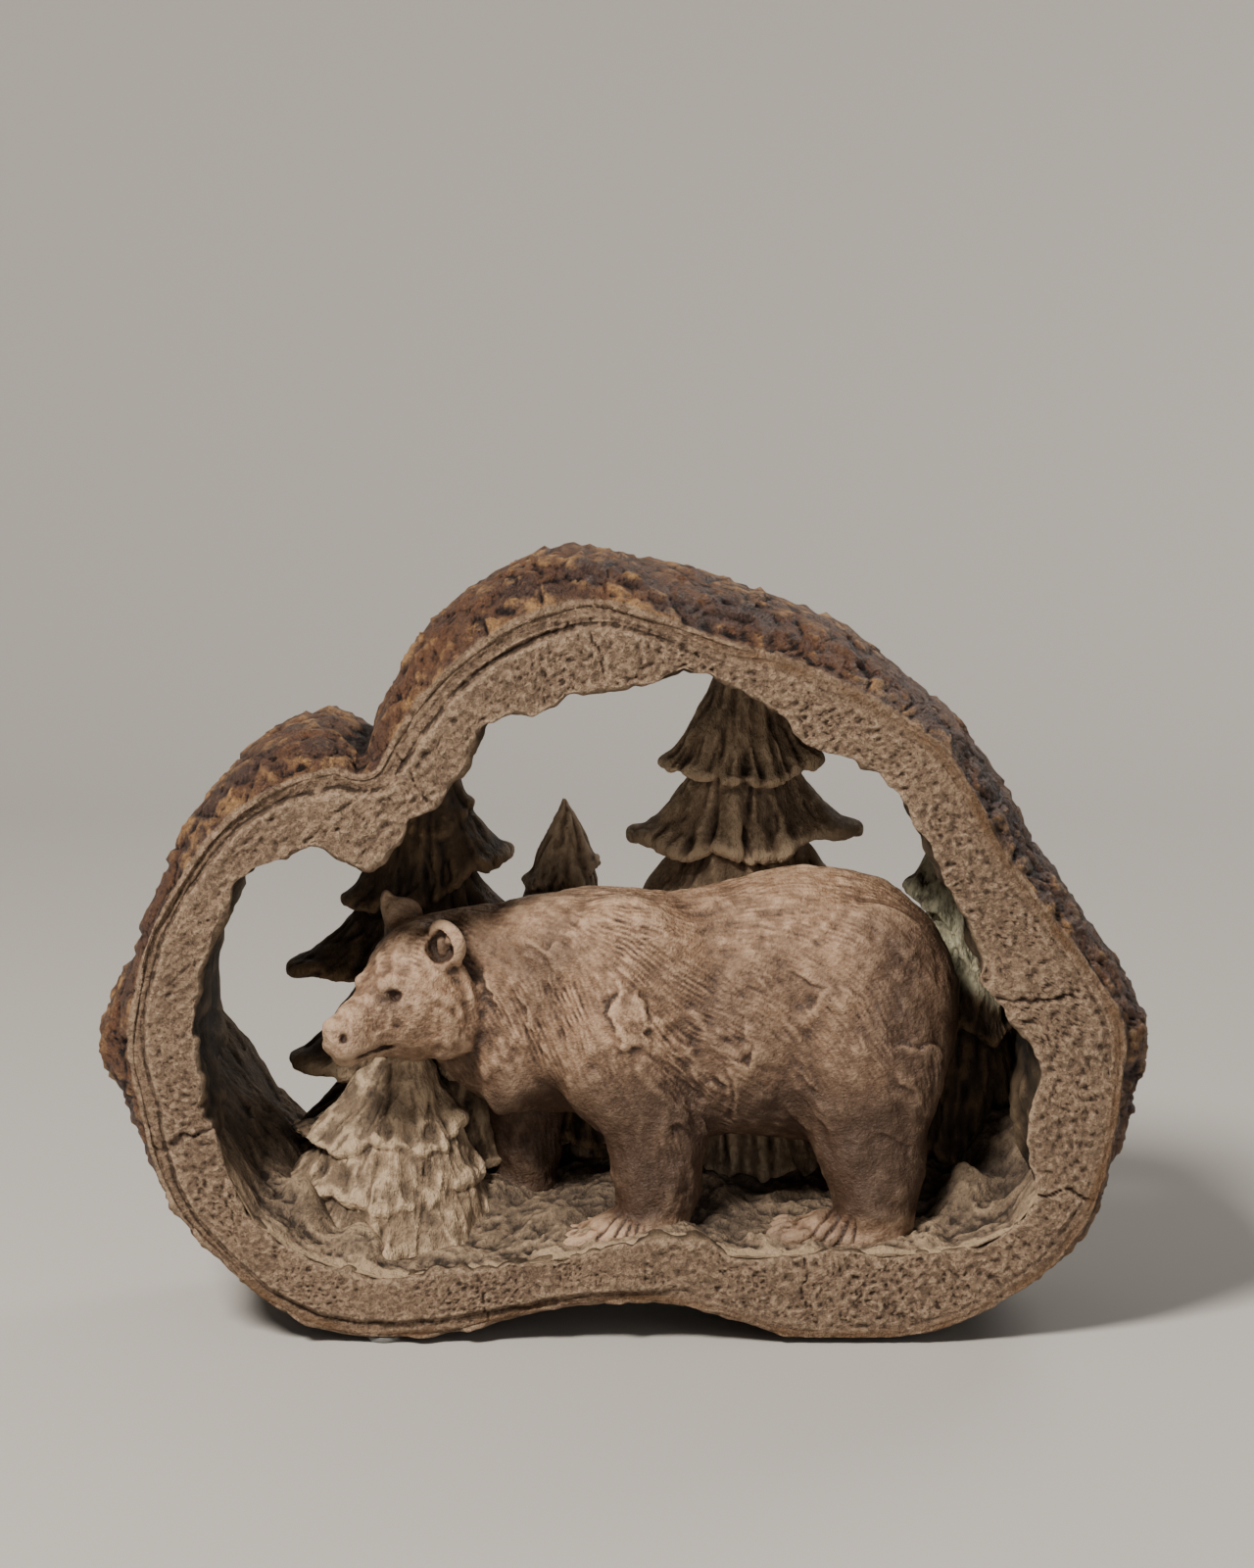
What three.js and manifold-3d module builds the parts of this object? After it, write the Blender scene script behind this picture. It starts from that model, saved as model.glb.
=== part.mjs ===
// A mantel ornament cast in one piece: a slice of a hollow log standing on its bark edge, and inside it a bear
// walking past a stand of drooping conifers. It stands on four clear bumper pads.
// Millimetres. +X is to the right seen from the front, +Y runs from the front cut to the back cut, +Z is up.
// The origin is on the table, under the middle of the object.
import * as THREE from "three";
import { mergeVertices } from "three/addons/utils/BufferGeometryUtils.js";
import Module from "manifold-3d";

const wasm = await Module();
wasm.setup();

// ---- driving dimensions ----

const halfDepth = 47; // the log slice is 94 mm from cut to cut
const padHeight = 2; // clear bumper pads under the log
const padRadius = 5.5;
const padGap = 0.3; // between a pad and the flat it sits under
const padPlaces = [
  [-77, -40],
  [-77, 36],
  [70, -33],
  [70, 36],
];
const logStations = 70; // steps round the log
const bodySides = 12; // sides of a limb's section

// The log's wall, clockwise from the notch between its two lobes: the outer edge of the front cut (x, z), the inner
// edge (x, z), and how far the bark stands out behind the cut.
const logWall = [
  [-80, 187, -68, 171, 6],
  [-73, 197, -57, 177, 8],
  [-65, 209, -50, 190, 10],
  [-54, 221, -41, 203, 12],
  [-38, 233, -30, 207, 13],
  [-22, 240, -16, 212, 13],
  [-6, 242, -1, 215, 12],
  [12, 237, 14, 217, 12],
  [33, 229, 29, 218, 13],
  [54, 223, 45, 209, 12],
  [74, 214, 61, 197, 11],
  [91, 204, 78, 189, 8],
  [105, 192, 90, 179, 8],
  [116, 174, 98, 162, 9],
  [126, 156, 106, 147, 9],
  [139, 139, 113, 133, 9],
  [152, 122, 117, 120, 9],
  [160, 107, 127, 107, 10],
  [161, 88, 133, 91, 9],
  [159, 70, 130, 69, 8],
  [153, 46, 135, 50, 5],
  [141, 27, 126, 38, 3],
  [124, 14, 108, 31, 2],
  [103, 4.5, 92, 30, 1],
  [80, 1.2, 74, 30, 0],
  [58, 1.4, 54, 29, 0],
  [40, 6.5, 36, 30, 0],
  [20, 12, 17, 36, 0],
  [0, 13, 0, 32, 0],
  [-20, 10.5, -22, 28, 0],
  [-40, 6, -42, 25, 0],
  [-60, 2, -60, 23, 0],
  [-80, 1.2, -77, 22, 0],
  [-99, 5, -93, 26, 1],
  [-116, 14, -107, 32, 2],
  [-131, 28, -118, 41, 3],
  [-144, 43, -126, 54, 4],
  [-151, 60, -131, 69, 5],
  [-155, 79, -135, 86, 8],
  [-158, 97, -137, 104, 12],
  [-156, 116, -135, 120, 7],
  [-151, 135, -129, 136, 5],
  [-141, 153, -122, 151, 6],
  [-128, 170, -109, 160, 8],
  [-111, 182, -95, 162, 11],
  [-93, 188, -80, 156, 11],
];
// The wall's section: place across the wall from the inner edge (0) to the outer (1), share of the bark's stand-out,
// and y.
const logSection = [
  [0.06, 0, -halfDepth],
  [0.94, 0, -halfDepth],
  [1, 0.1, -43],
  [1, 0.6, -37],
  [1, 0.97, -22],
  [1, 1, 0],
  [1, 0.9, 30],
  [0.97, 0.7, 45],
  [0.88, 0.6, halfDepth],
  [0.08, 0, halfDepth],
  [0, 0, 43],
  [0, 0, 0],
  [0, 0, -43],
];

// The ground inside the log. Along x: the height of its front lip, and of its underside, hidden in the log's wall.
const groundLip = [
  [-139, 74],
  [-128, 60],
  [-118, 42],
  [-107, 33],
  [-93, 27],
  [-77, 23],
  [-42, 26],
  [-22, 29],
  [0, 33],
  [17, 36],
  [36, 31],
  [74, 31],
  [108, 32],
  [126, 39],
  [136, 52],
  [146, 76],
];
const groundUnderside = [
  [-139, 66],
  [-124, 39],
  [-108, 23],
  [-88, 14],
  [-60, 13],
  [-20, 19],
  [10, 23],
  [40, 18],
  [60, 15],
  [85, 16],
  [106, 20],
  [125, 30],
  [138, 42],
  [146, 68],
];
const groundRise = 22; // how much higher the ground lies at the back
// Lumps on the ground: x, y, height, half width along x and along y.
const groundLumps = [
  [112, -18, 13, 7, 7],
  [124, 4, 14, 10, 14],
  [96, 8, 8, 9, 12],
  [30, -8, 6, 10, 10],
  [-24, -20, 5, 9, 8],
  [-46, -2, 9, 12, 12],
  [-104, -22, 12, 8, 9],
  [-116, 6, 12, 9, 16],
  [-84, -32, 8, 7, 7],
];

// Drooping conifers, each a stack of bough tiers about one stem at x, y. A tier: height of its top, half width there,
// [reach, height] of its left and right tips, its reach to front and back.
const conifers = [
  {
    // the tall one, its top grown into the arch
    x: 41,
    y: 27,
    tiers: [
      [222, 5, [27, 180], [26, 182], 13],
      [192, 10, [38, 156], [39, 158], 17],
      [167, 15, [44, 128], [44, 128], 18],
      [138, 20, [50, 90], [50, 90], 18.5],
      [104, 24, [57, 46], [55, 46], 19],
    ],
  },
  {
    // the sapling behind the bear's back
    x: -21,
    y: 29,
    tiers: [
      [166, 1.5, [9, 147], [9, 149], 8],
      [152, 4, [16, 128], [15, 128], 12],
      [134, 8, [25, 98], [24, 98], 15],
      [108, 12, [33, 56], [33, 56], 17],
    ],
  },
  {
    // the one behind the head, its top under the notch
    x: -64,
    y: 25,
    tiers: [
      [186, 6, [15, 158], [14, 166], 12],
      [174, 8, [29, 134], [27, 150], 16],
      [148, 12, [47, 111], [36, 120], 18],
      [121, 15, [48, 79], [42, 86], 20],
      [94, 18, [52, 50], [46, 52], 21],
    ],
  },
  {
    // the one half sunk in the right wall
    x: 115,
    y: 25,
    tiers: [
      [163, 5, [17, 136], [6, 140], 14],
      [138, 9, [24, 98], [18, 102], 19],
      [106, 13, [29, 52], [24, 62], 20],
    ],
  },
  {
    // the low one in front, under the bear's chin
    x: -72,
    y: -1,
    tiers: [
      [94, 4, [38, 51], [24, 56], 19],
      [66, 12, [37, 30], [29, 30], 31],
    ],
  },
];
const tierThickness = 7;
const boughsPerTier = 8; // an even number puts a bough at either tip

// The bear, as lofts. A loft's stations run along its first axis, and each gives the place along it, then from-to
// across the second and the third axis.
const bearLofts = {
  trunk: {
    along: "xyz",
    stations: [
      [110, -12, 0, 96, 110],
      [107, -22, 10, 84, 121],
      [101, -28, 16, 70, 133],
      [92, -31, 19, 60, 141],
      [78, -32.5, 20.5, 56, 147],
      [62, -33, 21, 58, 149],
      [46, -33, 21, 60, 147],
      [30, -32, 20, 61, 143],
      [14, -31, 19, 63, 141],
      [-3, -31, 19, 66, 142.5],
      [-18, -30, 18, 68, 142],
      [-32, -28, 15, 69, 139.5],
      [-44, -27, 9, 72, 137],
      [-54, -27, 4, 80, 135],
      [-63, -26, 0, 88, 133],
      [-70, -22, -6, 98, 128],
    ],
  },
  nearForeleg: {
    along: "zxy",
    stations: [
      [118, -14, 20, -24, -4],
      [104, -20, 28, -32, -4],
      [90, -19, 30, -35, -6],
      [76, -12, 30, -36, -9],
      [64, -5.5, 28, -37, -12],
      [52, -2.5, 26, -37.5, -15],
      [42, -1, 24.5, -38, -16],
      [33, -2, 21, -38.5, -17],
      [26, -2, 18, -38, -18],
    ],
  },
  nearForepaw: {
    along: "xyz",
    stations: [
      [18, -34, -20, 26, 34],
      [8, -38.5, -17, 24, 38],
      [-4, -39.5, -17, 24, 38],
      [-13, -39.5, -18, 24, 35],
      [-19, -38, -19, 24.5, 31],
      [-22.5, -34, -22, 25.5, 28.5],
    ],
  },
  nearHindleg: {
    along: "zxy",
    stations: [
      [122, 66, 100, -24, -4],
      [106, 58, 106, -33, -4],
      [90, 54, 107, -36, -6],
      [76, 56, 103, -37, -9],
      [64, 62, 100, -37.5, -12],
      [54, 65.5, 99, -38, -14],
      [44, 68, 97, -38, -15],
      [34, 70, 95.5, -38.5, -16],
      [26, 72, 93, -38, -17],
    ],
  },
  nearHindpaw: {
    along: "xyz",
    stations: [
      [94, -34, -20, 26, 34],
      [84, -38, -16, 24, 38],
      [70, -38.5, -16, 24, 38],
      [58, -39, -17, 24.5, 38],
      [50, -38, -18, 25.5, 35.5],
      [44.5, -34, -22, 28, 33],
    ],
  },
  farForeleg: {
    along: "zxy",
    stations: [
      [112, -44, -10, -8, 10],
      [92, -47, -10, -3, 16],
      [74, -46, -15, 0, 18],
      [58, -43, -20, 2, 18],
      [46, -42, -21, 3, 18],
      [36, -43, -24, 3, 18],
    ],
  },
  farForepaw: {
    along: "xyz",
    stations: [
      [-22, 4, 17, 36, 43],
      [-34, 2, 19, 34, 46],
      [-46, 3, 18, 34, 43],
      [-54, 7, 15, 35, 39],
    ],
  },
  farHindleg: {
    along: "zxy",
    stations: [
      [112, 62, 98, -6, 12],
      [92, 60, 98, -2, 17],
      [74, 62, 94, 1, 18],
      [58, 66, 92, 2, 18],
      [46, 67, 90, 3, 18],
      [36, 68, 88, 4, 18],
    ],
  },
  farHindpaw: {
    along: "xyz",
    stations: [
      [88, 4, 18, 36, 44],
      [74, 3, 19, 34, 46],
      [62, 4, 18, 35, 43],
      [54, 7, 15, 36, 40],
    ],
  },
};
// The head is turned towards the viewer. Its stations run from the nape to the nose, then give from-to across the
// head, and below and above its centre line.
const headCentre = new THREE.Vector3(-68.5, -16, 110);
const noseDirection = new THREE.Vector3(-0.74, -0.645, -0.188).normalize();
const headStations = [
  [-21, -9, 9, -9, 14],
  [-14, -17, 17, -19, 21],
  [-4, -21, 21, -24, 24],
  [5, -20, 20, -23.5, 21.5],
  [12, -15.5, 15.5, -21, 15.5],
  [18, -11.5, 11.5, -19, 8.5],
  [25, -8.7, 8.7, -17, 4],
  [32, -7.4, 7.4, -15.5, 2.5],
  [37.5, -5, 5, -12.5, 0],
];
const earRadius = 7.5;
const earSpread = 15.5; // from the head's centre line to an ear
const earHeight = 19; // above the head's centre line
const earSetBack = 7; // behind the head's centre

// ---- shapes ----

// The value of a table of [x, value] pairs at x, straight between its entries.
function readTable(table, x) {
  if (x <= table[0][0]) return table[0][1];
  const next = table.findIndex((entry) => entry[0] >= x);
  if (next < 0) return table[table.length - 1][1];
  const [x0, value0] = table[next - 1];
  const [x1, value1] = table[next];
  return value0 + ((value1 - value0) * (x - x0)) / (x1 - x0);
}

// A closed surface over rings of points. With poles, the first and last rings are each closed at their centre;
// without, the last ring joins the first.
function skinOver(rings, poles) {
  const sides = rings[0].length;
  const points = rings.flat();
  const index = [];
  const lastRing = poles ? rings.length - 1 : rings.length;
  for (let i = 0; i < lastRing; i++) {
    const here = i * sides;
    const next = ((i + 1) % rings.length) * sides;
    for (let j = 0; j < sides; j++) {
      const k = (j + 1) % sides;
      index.push(here + j, next + j, next + k);
      index.push(here + j, next + k, here + k);
    }
  }
  if (poles) {
    for (const [ring, flip] of [
      [0, true],
      [rings.length - 1, false],
    ]) {
      const pole = points.length;
      const centre = new THREE.Vector3();
      rings[ring].forEach((point) => centre.add(point));
      points.push(centre.divideScalar(sides));
      for (let j = 0; j < sides; j++) {
        const a = ring * sides + j;
        const b = ring * sides + ((j + 1) % sides);
        if (flip) index.push(pole, a, b);
        else index.push(pole, b, a);
      }
    }
  }
  const geometry = new THREE.BufferGeometry().setFromPoints(points);
  geometry.setIndex(index);
  return geometry;
}

// A closed geometry as a solid. Faces that point inwards are turned round.
function solidOf(geometry) {
  const bare = geometry.clone();
  bare.deleteAttribute("normal");
  bare.deleteAttribute("uv");
  const merged = mergeVertices(bare, 1e-4);
  const triVerts = new Uint32Array(merged.index.array);
  const make = () =>
    new wasm.Manifold(
      new wasm.Mesh({ numProp: 3, vertProperties: new Float32Array(merged.attributes.position.array), triVerts }),
    );
  const solid = make();
  if (solid.volume() > 0) return solid;
  for (let i = 0; i < triVerts.length; i += 3) [triVerts[i], triVerts[i + 1]] = [triVerts[i + 1], triVerts[i]];
  return make();
}

function geometryOf(solid) {
  const mesh = solid.getMesh();
  const geometry = new THREE.BufferGeometry();
  const positions = new Float32Array(mesh.numVert * 3);
  for (let i = 0; i < mesh.numVert; i++)
    for (let k = 0; k < 3; k++) positions[i * 3 + k] = mesh.vertProperties[i * mesh.numProp + k];
  geometry.setAttribute("position", new THREE.BufferAttribute(positions, 3));
  geometry.setIndex(new THREE.BufferAttribute(mesh.triVerts, 1));
  geometry.computeVertexNormals();
  return geometry;
}

// The log slice: its wall's section carried round smooth closed curves through the stations.
function logSlice() {
  const outer = new THREE.CatmullRomCurve3(
    logWall.map(([x, z, , , bark]) => new THREE.Vector3(x, bark, z)),
    true,
    "catmullrom",
  );
  const inner = new THREE.CatmullRomCurve3(
    logWall.map(([, , x, z]) => new THREE.Vector3(x, 0, z)),
    true,
    "catmullrom",
  );
  const rings = [];
  for (let i = 0; i < logStations; i++) {
    const out = outer.getPoint(i / logStations);
    const edge = inner.getPoint(i / logStations);
    const bark = out.y;
    out.y = 0;
    const wall = out.clone().sub(edge);
    const away = wall.clone().normalize();
    rings.push(
      logSection.map(([across, share, y]) => {
        const point = edge.clone().addScaledVector(wall, across).addScaledVector(away, bark * share);
        point.y = y;
        return point;
      }),
    );
  }
  return solidOf(skinOver(rings, false));
}

function groundHeight(x, y) {
  const back = (y + halfDepth) / (2 * halfDepth);
  let height = readTable(groundLip, x) - 2 + groundRise * back;
  for (const [lumpX, lumpY, rise, wide, deep] of groundLumps)
    height += rise * Math.exp(-(((x - lumpX) / wide) ** 2) - ((y - lumpY) / deep) ** 2);
  return Math.max(height, readTable(groundUnderside, x) + 4);
}

// The ground: a box whose top follows groundHeight and whose underside stays inside the log's wall.
function ground() {
  const left = groundLip[0][0];
  const right = groundLip[groundLip.length - 1][0];
  const deep = 2 * halfDepth - 6;
  const box = new THREE.BoxGeometry(right - left, deep, 2, 24, 7, 1);
  box.translate((left + right) / 2, 0, 0);
  const place = box.attributes.position;
  for (let i = 0; i < place.count; i++) {
    const x = place.getX(i);
    const y = place.getY(i);
    place.setZ(i, place.getZ(i) > 0 ? groundHeight(x, y) : readTable(groundUnderside, x));
  }
  return solidOf(box);
}

// One tier of boughs: a skirt that hangs from a narrow top, flares out to its tips and turns in underneath.
function boughTier(stemX, stemY, [top, neck, leftTip, rightTip, depth], turn) {
  const sides = 12;
  // share of the way out to the tip, and of the way down to it; past the tip, share of the thickness below it
  const slope = [
    [0, 0, 0],
    [0.16, 0.4, 0],
    [0.5, 0.78, 0],
    [0.97, 1, 0],
    [0.9, 1, 0.85],
    [0.15, 1, 0.4],
  ];
  const rings = slope.map(([out, down, under]) =>
    Array.from({ length: sides }, (_, j) => {
      const angle = (2 * Math.PI * j) / sides;
      const c = Math.cos(angle);
      const s = Math.sin(angle);
      const tip = c > 0 ? rightTip : leftTip;
      const lobe = 1 - 0.1 * (1 - Math.cos(boughsPerTier * angle + turn * s));
      const reach = lobe / Math.hypot(c / tip[0], s / depth);
      const neckReach = 1 / Math.hypot(c / neck, s / Math.min(neck, depth * 0.7));
      const tipHeight = leftTip[1] + ((rightTip[1] - leftTip[1]) * (1 + c)) / 2;
      const radius = neckReach + (reach - neckReach) * out;
      const height = top + (tipHeight - top) * down - tierThickness * under;
      return new THREE.Vector3(stemX + radius * c, stemY + radius * s, height);
    }),
  );
  return solidOf(skinOver(rings, true));
}

// A loft through stations: an ellipse at each, in the frame of three axes from an origin.
function loft(origin, axes, stations) {
  const rings = stations.map(([along, fromA, toA, fromB, toB]) =>
    Array.from({ length: bodySides }, (_, j) => {
      const angle = (2 * Math.PI * j) / bodySides;
      return origin
        .clone()
        .addScaledVector(axes[0], along)
        .addScaledVector(axes[1], (fromA + toA) / 2 + ((toA - fromA) / 2) * Math.cos(angle))
        .addScaledVector(axes[2], (fromB + toB) / 2 + ((toB - fromB) / 2) * Math.sin(angle));
    }),
  );
  return solidOf(skinOver(rings, true));
}

function bear() {
  const unit = { x: new THREE.Vector3(1, 0, 0), y: new THREE.Vector3(0, 1, 0), z: new THREE.Vector3(0, 0, 1) };
  let body = null;
  for (const { along, stations } of Object.values(bearLofts)) {
    const limb = loft(
      new THREE.Vector3(),
      [...along].map((letter) => unit[letter]),
      stations,
    );
    body = body ? body.add(limb) : limb;
  }
  const side = new THREE.Vector3(-noseDirection.y, noseDirection.x, 0).normalize();
  const up = noseDirection.clone().cross(side);
  body = body.add(loft(headCentre, [noseDirection, side, up], headStations));
  for (const hand of [-1, 1]) {
    const place = headCentre
      .clone()
      .addScaledVector(noseDirection, -earSetBack)
      .addScaledVector(side, hand * earSpread)
      .addScaledVector(up, earHeight);
    const ear = new THREE.SphereGeometry(earRadius, 14, 10);
    const hollow = new THREE.SphereGeometry(earRadius * 0.62, 10, 8);
    hollow.translate(noseDirection.x * 4.5, noseDirection.y * 4.5, noseDirection.z * 4.5);
    const cup = solidOf(ear).subtract(solidOf(hollow));
    body = body.add(cup.translate([place.x, place.y, place.z]));
  }
  return body;
}

function carving() {
  let whole = logSlice().add(ground());
  conifers.forEach(({ x, y, tiers }, tree) =>
    tiers.forEach((tier, level) => {
      whole = whole.add(boughTier(x, y, tier, tree + 2.4 * level));
    }),
  );
  whole = whole.add(bear());
  const flat = padHeight + padGap;
  const below = new THREE.BoxGeometry(500, 300, 60);
  below.translate(0, 0, flat - 30);
  // Pockets closed in on all sides are filled: the casting is solid.
  return wasm.Manifold.union(whole.subtract(solidOf(below)).decompose().filter((body) => body.volume() > 0));
}

// A clear bumper pad: a low disc with a rounded lower edge.
function bumperPad() {
  const profile = [
    [0, 0],
    [padRadius - 1, 0],
    [padRadius, 1],
    [padRadius, padHeight],
    [0, padHeight],
  ].map(([r, z]) => new THREE.Vector2(r, z));
  const geometry = new THREE.LatheGeometry(profile, 16);
  geometry.rotateX(Math.PI / 2);
  return geometry;
}

// ---- materials and scene ----

const castResin = new THREE.MeshStandardMaterial({ color: 0x8a705a, roughness: 0.8, metalness: 0 });
const clearVinyl = new THREE.MeshStandardMaterial({
  color: 0xe6e8e4,
  roughness: 0.25,
  metalness: 0,
  transparent: true,
  opacity: 0.5,
});

const ornament = new THREE.Group();

const carvingMesh = new THREE.Mesh(geometryOf(carving()), castResin);
carvingMesh.name = "log_and_bear_carving";
ornament.add(carvingMesh);

padPlaces.forEach(([x, y]) => {
  const pad = new THREE.Mesh(bumperPad(), clearVinyl);
  pad.name = `bumper_pad_${y < 0 ? "front" : "back"}_${x < 0 ? "left" : "right"}`;
  pad.position.set(x, y, 0);
  ornament.add(pad);
});

export default ornament;
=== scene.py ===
# A hollow log ornament: a slice of two-lobed log stands on its bark edge, and inside it
# a bear walks past drooping conifers. It is one resin casting, washed with dark colour
# and rubbed with pale. It is made here as four surfaces that run into each other, so
# that each can carry fine relief. Millimetres, until a mesh is made in metres.
import itertools
import math

import bpy
import numpy as np
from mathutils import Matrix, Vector


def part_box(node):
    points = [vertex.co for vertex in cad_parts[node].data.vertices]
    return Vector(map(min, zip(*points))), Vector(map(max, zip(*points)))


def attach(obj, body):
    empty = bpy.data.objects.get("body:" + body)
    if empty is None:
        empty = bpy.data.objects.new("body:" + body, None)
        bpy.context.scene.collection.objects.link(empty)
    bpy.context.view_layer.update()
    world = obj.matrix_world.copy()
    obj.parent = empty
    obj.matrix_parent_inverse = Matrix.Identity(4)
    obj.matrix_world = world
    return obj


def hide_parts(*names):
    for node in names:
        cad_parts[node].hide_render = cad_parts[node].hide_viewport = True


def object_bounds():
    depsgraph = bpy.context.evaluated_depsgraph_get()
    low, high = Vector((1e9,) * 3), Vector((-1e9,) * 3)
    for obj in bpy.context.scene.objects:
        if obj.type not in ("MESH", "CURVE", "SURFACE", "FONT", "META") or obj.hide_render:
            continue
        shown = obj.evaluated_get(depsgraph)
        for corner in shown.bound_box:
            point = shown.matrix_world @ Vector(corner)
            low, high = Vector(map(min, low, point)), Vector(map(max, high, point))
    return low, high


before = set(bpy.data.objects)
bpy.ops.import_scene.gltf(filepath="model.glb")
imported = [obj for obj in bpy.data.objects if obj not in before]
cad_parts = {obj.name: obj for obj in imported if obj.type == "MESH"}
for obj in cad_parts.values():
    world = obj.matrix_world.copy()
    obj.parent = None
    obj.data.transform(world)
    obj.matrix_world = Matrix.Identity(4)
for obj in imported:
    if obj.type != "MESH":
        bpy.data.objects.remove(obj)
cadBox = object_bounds()
carvingNode = "log_and_bear_carving"
mm = 0.001

view = dict(
    distance=1.225,  # metres from the front cut of the log to the lens
    height=0.378,
    aside=0.002,
    tiltDown=9.0,  # degrees
    focalLength=90.0,
    filmSide=36.0,
)


def newObject(name, data):
    made = bpy.data.objects.new(name, data)
    bpy.context.scene.collection.objects.link(made)
    return made


def makeCamera():
    data = bpy.data.cameras.new("camera")
    data.lens = view["focalLength"]
    data.sensor_width = view["filmSide"]
    camera = newObject("camera", data)
    camera.location = (view["aside"], cadBox[0][1] - view["distance"], view["height"])
    camera.rotation_euler = (math.radians(90 - view["tiltDown"]), 0, 0)
    bpy.context.scene.camera = camera


makeCamera()
print("camera set")


def smoothStep(low, high, x):
    # 0 at low, 1 at high, an S-curve between them; low may be the larger
    t = np.clip((x - low) / (high - low), 0, 1)
    return t * t * (3 - 2 * t)


def cellNumber(cell, seed):
    # a lattice cell's own number from 0 to 1: its whole coordinates
    # times large odd numbers, mixed bit by bit
    odd = np.array([0x8DA6B343, 0xD8163841, 0xCB1AB31F], np.uint32)
    mixed = np.full(cell.shape[:-1], seed * 7919 + 12345, np.uint32)
    for axis in range(cell.shape[-1]):
        mixed ^= cell[..., axis].astype(np.int64).astype(np.uint32) * odd[axis]
        mixed ^= mixed >> np.uint32(15)
        mixed *= np.uint32(0x7FEB352D)
        mixed ^= mixed >> np.uint32(13)
    return mixed.astype(np.float32) / np.float32(4294967296.0)


def noise(points, size, seed):
    # value noise from -1 to 1: the numbers of a cell's corners,
    # blended by S-curves of the place in the cell
    place = points / np.asarray(size, np.float32)
    low = np.floor(place)
    part = place - low
    part = part * part * (3 - 2 * part)
    total = 0
    for corner in itertools.product((0, 1), repeat=points.shape[-1]):
        weight = 1
        for axis, side in enumerate(corner):
            weight = weight * (part[..., axis] if side else 1 - part[..., axis])
        total = total + weight * cellNumber(low + np.array(corner), seed)
    return total * 2 - 1


def layeredNoise(points, size, seed, layers=3):
    # noise at size, half of it, a quarter of it..., each layer with half the strength of the last
    size = np.asarray(size, np.float32)
    return sum(noise(points, size / 2**i, seed + i) / 2**i for i in range(layers))


def cracked(points, size, seed):
    # cell noise: distances to the nearest and the second nearest of
    # one jittered point per cell, and that cell's number
    place = points / np.asarray(size, np.float32)
    low = np.floor(place)
    near = np.full(place.shape[:-1], 9.0, np.float32)
    second = near.copy()
    own = np.zeros_like(near)
    for offset in itertools.product((-1, 0, 1), repeat=points.shape[-1]):
        cell = low + np.array(offset)
        away = 0
        for axis in range(points.shape[-1]):
            jitter = cellNumber(cell, seed + 11 * (axis + 1))
            away = away + (cell[..., axis] + jitter - place[..., axis]) ** 2
        away = np.sqrt(away)
        closer = away < near
        second = np.where(closer, near, np.minimum(second, away))
        own = np.where(closer, cellNumber(cell, seed), own)
        near = np.where(closer, away, near)
    return near, second, own


def makeMesh(name, points, triangles, values=None):
    # points in millimetres, whole arrays of triangles, and named numbers per point for the paint
    mesh = bpy.data.meshes.new(name)
    mesh.vertices.add(len(points))
    mesh.vertices.foreach_set("co", (points * mm).astype(np.float32).ravel())
    mesh.loops.add(triangles.size)
    mesh.loops.foreach_set("vertex_index", triangles.astype(np.int32).ravel())
    mesh.polygons.add(len(triangles))
    mesh.polygons.foreach_set("loop_start", np.arange(0, triangles.size, 3, dtype=np.int32))
    mesh.update(calc_edges=True)
    putNumbers(mesh, values or {})
    mesh.shade_smooth()
    return mesh


def putNumbers(mesh, values):
    # named numbers on the points, for the paint to read
    for key, numbers in values.items():
        layer = mesh.attributes.new(key, "FLOAT", "POINT")
        layer.data.foreach_set("value", np.asarray(numbers, np.float32).ravel())


def addPiece(name, mesh, material):
    piece = newObject(name, mesh)
    mesh.materials.append(material)
    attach(piece, "root")
    print(name, len(mesh.polygons), "triangles")
    return piece


def gridTriangles(rows, columns, closeRows, closeColumns):
    # the triangles of a grid of points, counted row by row, closed on itself or not in either direction
    i = np.arange(rows if closeRows else rows - 1)[:, None]
    j = np.arange(columns if closeColumns else columns - 1)[None, :]
    a = i * columns + j
    b = (i + 1) % rows * columns + j
    c = (i + 1) % rows * columns + (j + 1) % columns
    d = i * columns + (j + 1) % columns
    return np.stack([a, b, c, a, c, d], -1).reshape(-1, 3)


def capTriangles(ring, pole, flip):
    # a fan from one pole point over a ring of point numbers
    fan = np.stack([np.full(len(ring), pole), ring, np.roll(ring, -1)], -1)
    return fan[:, ::-1] if flip else fan


def skin(rings):
    # a closed surface over rings of points; each end is closed at the middle of its ring
    rows, columns = rings.shape[:2]
    points = np.concatenate([rings.reshape(-1, 3), rings[0].mean(0)[None], rings[-1].mean(0)[None]])
    first = np.arange(columns)
    last = first + (rows - 1) * columns
    triangles = [
        gridTriangles(rows, columns, False, True),
        capTriangles(first, rows * columns, False),
        capTriangles(last, rows * columns + 1, True),
    ]
    return points, np.concatenate(triangles)


def readPoints(mesh):
    points = np.empty(len(mesh.vertices) * 3, np.float32)
    mesh.vertices.foreach_get("co", points)
    return points.reshape(-1, 3) / mm


def readNormals(mesh):
    normals = np.empty(len(mesh.vertices) * 3, np.float32)
    mesh.vertex_normals.foreach_get("vector", normals)
    return normals.reshape(-1, 3)


def writePoints(mesh, points):
    mesh.vertices.foreach_set("co", (points * mm).astype(np.float32).ravel())
    mesh.update()


def pushOut(mesh, points, normals, height):
    # every point moves along its normal by height; gives the new points and normals
    points = points + normals * height[:, None]
    writePoints(mesh, points)
    return points, readNormals(mesh)


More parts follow.
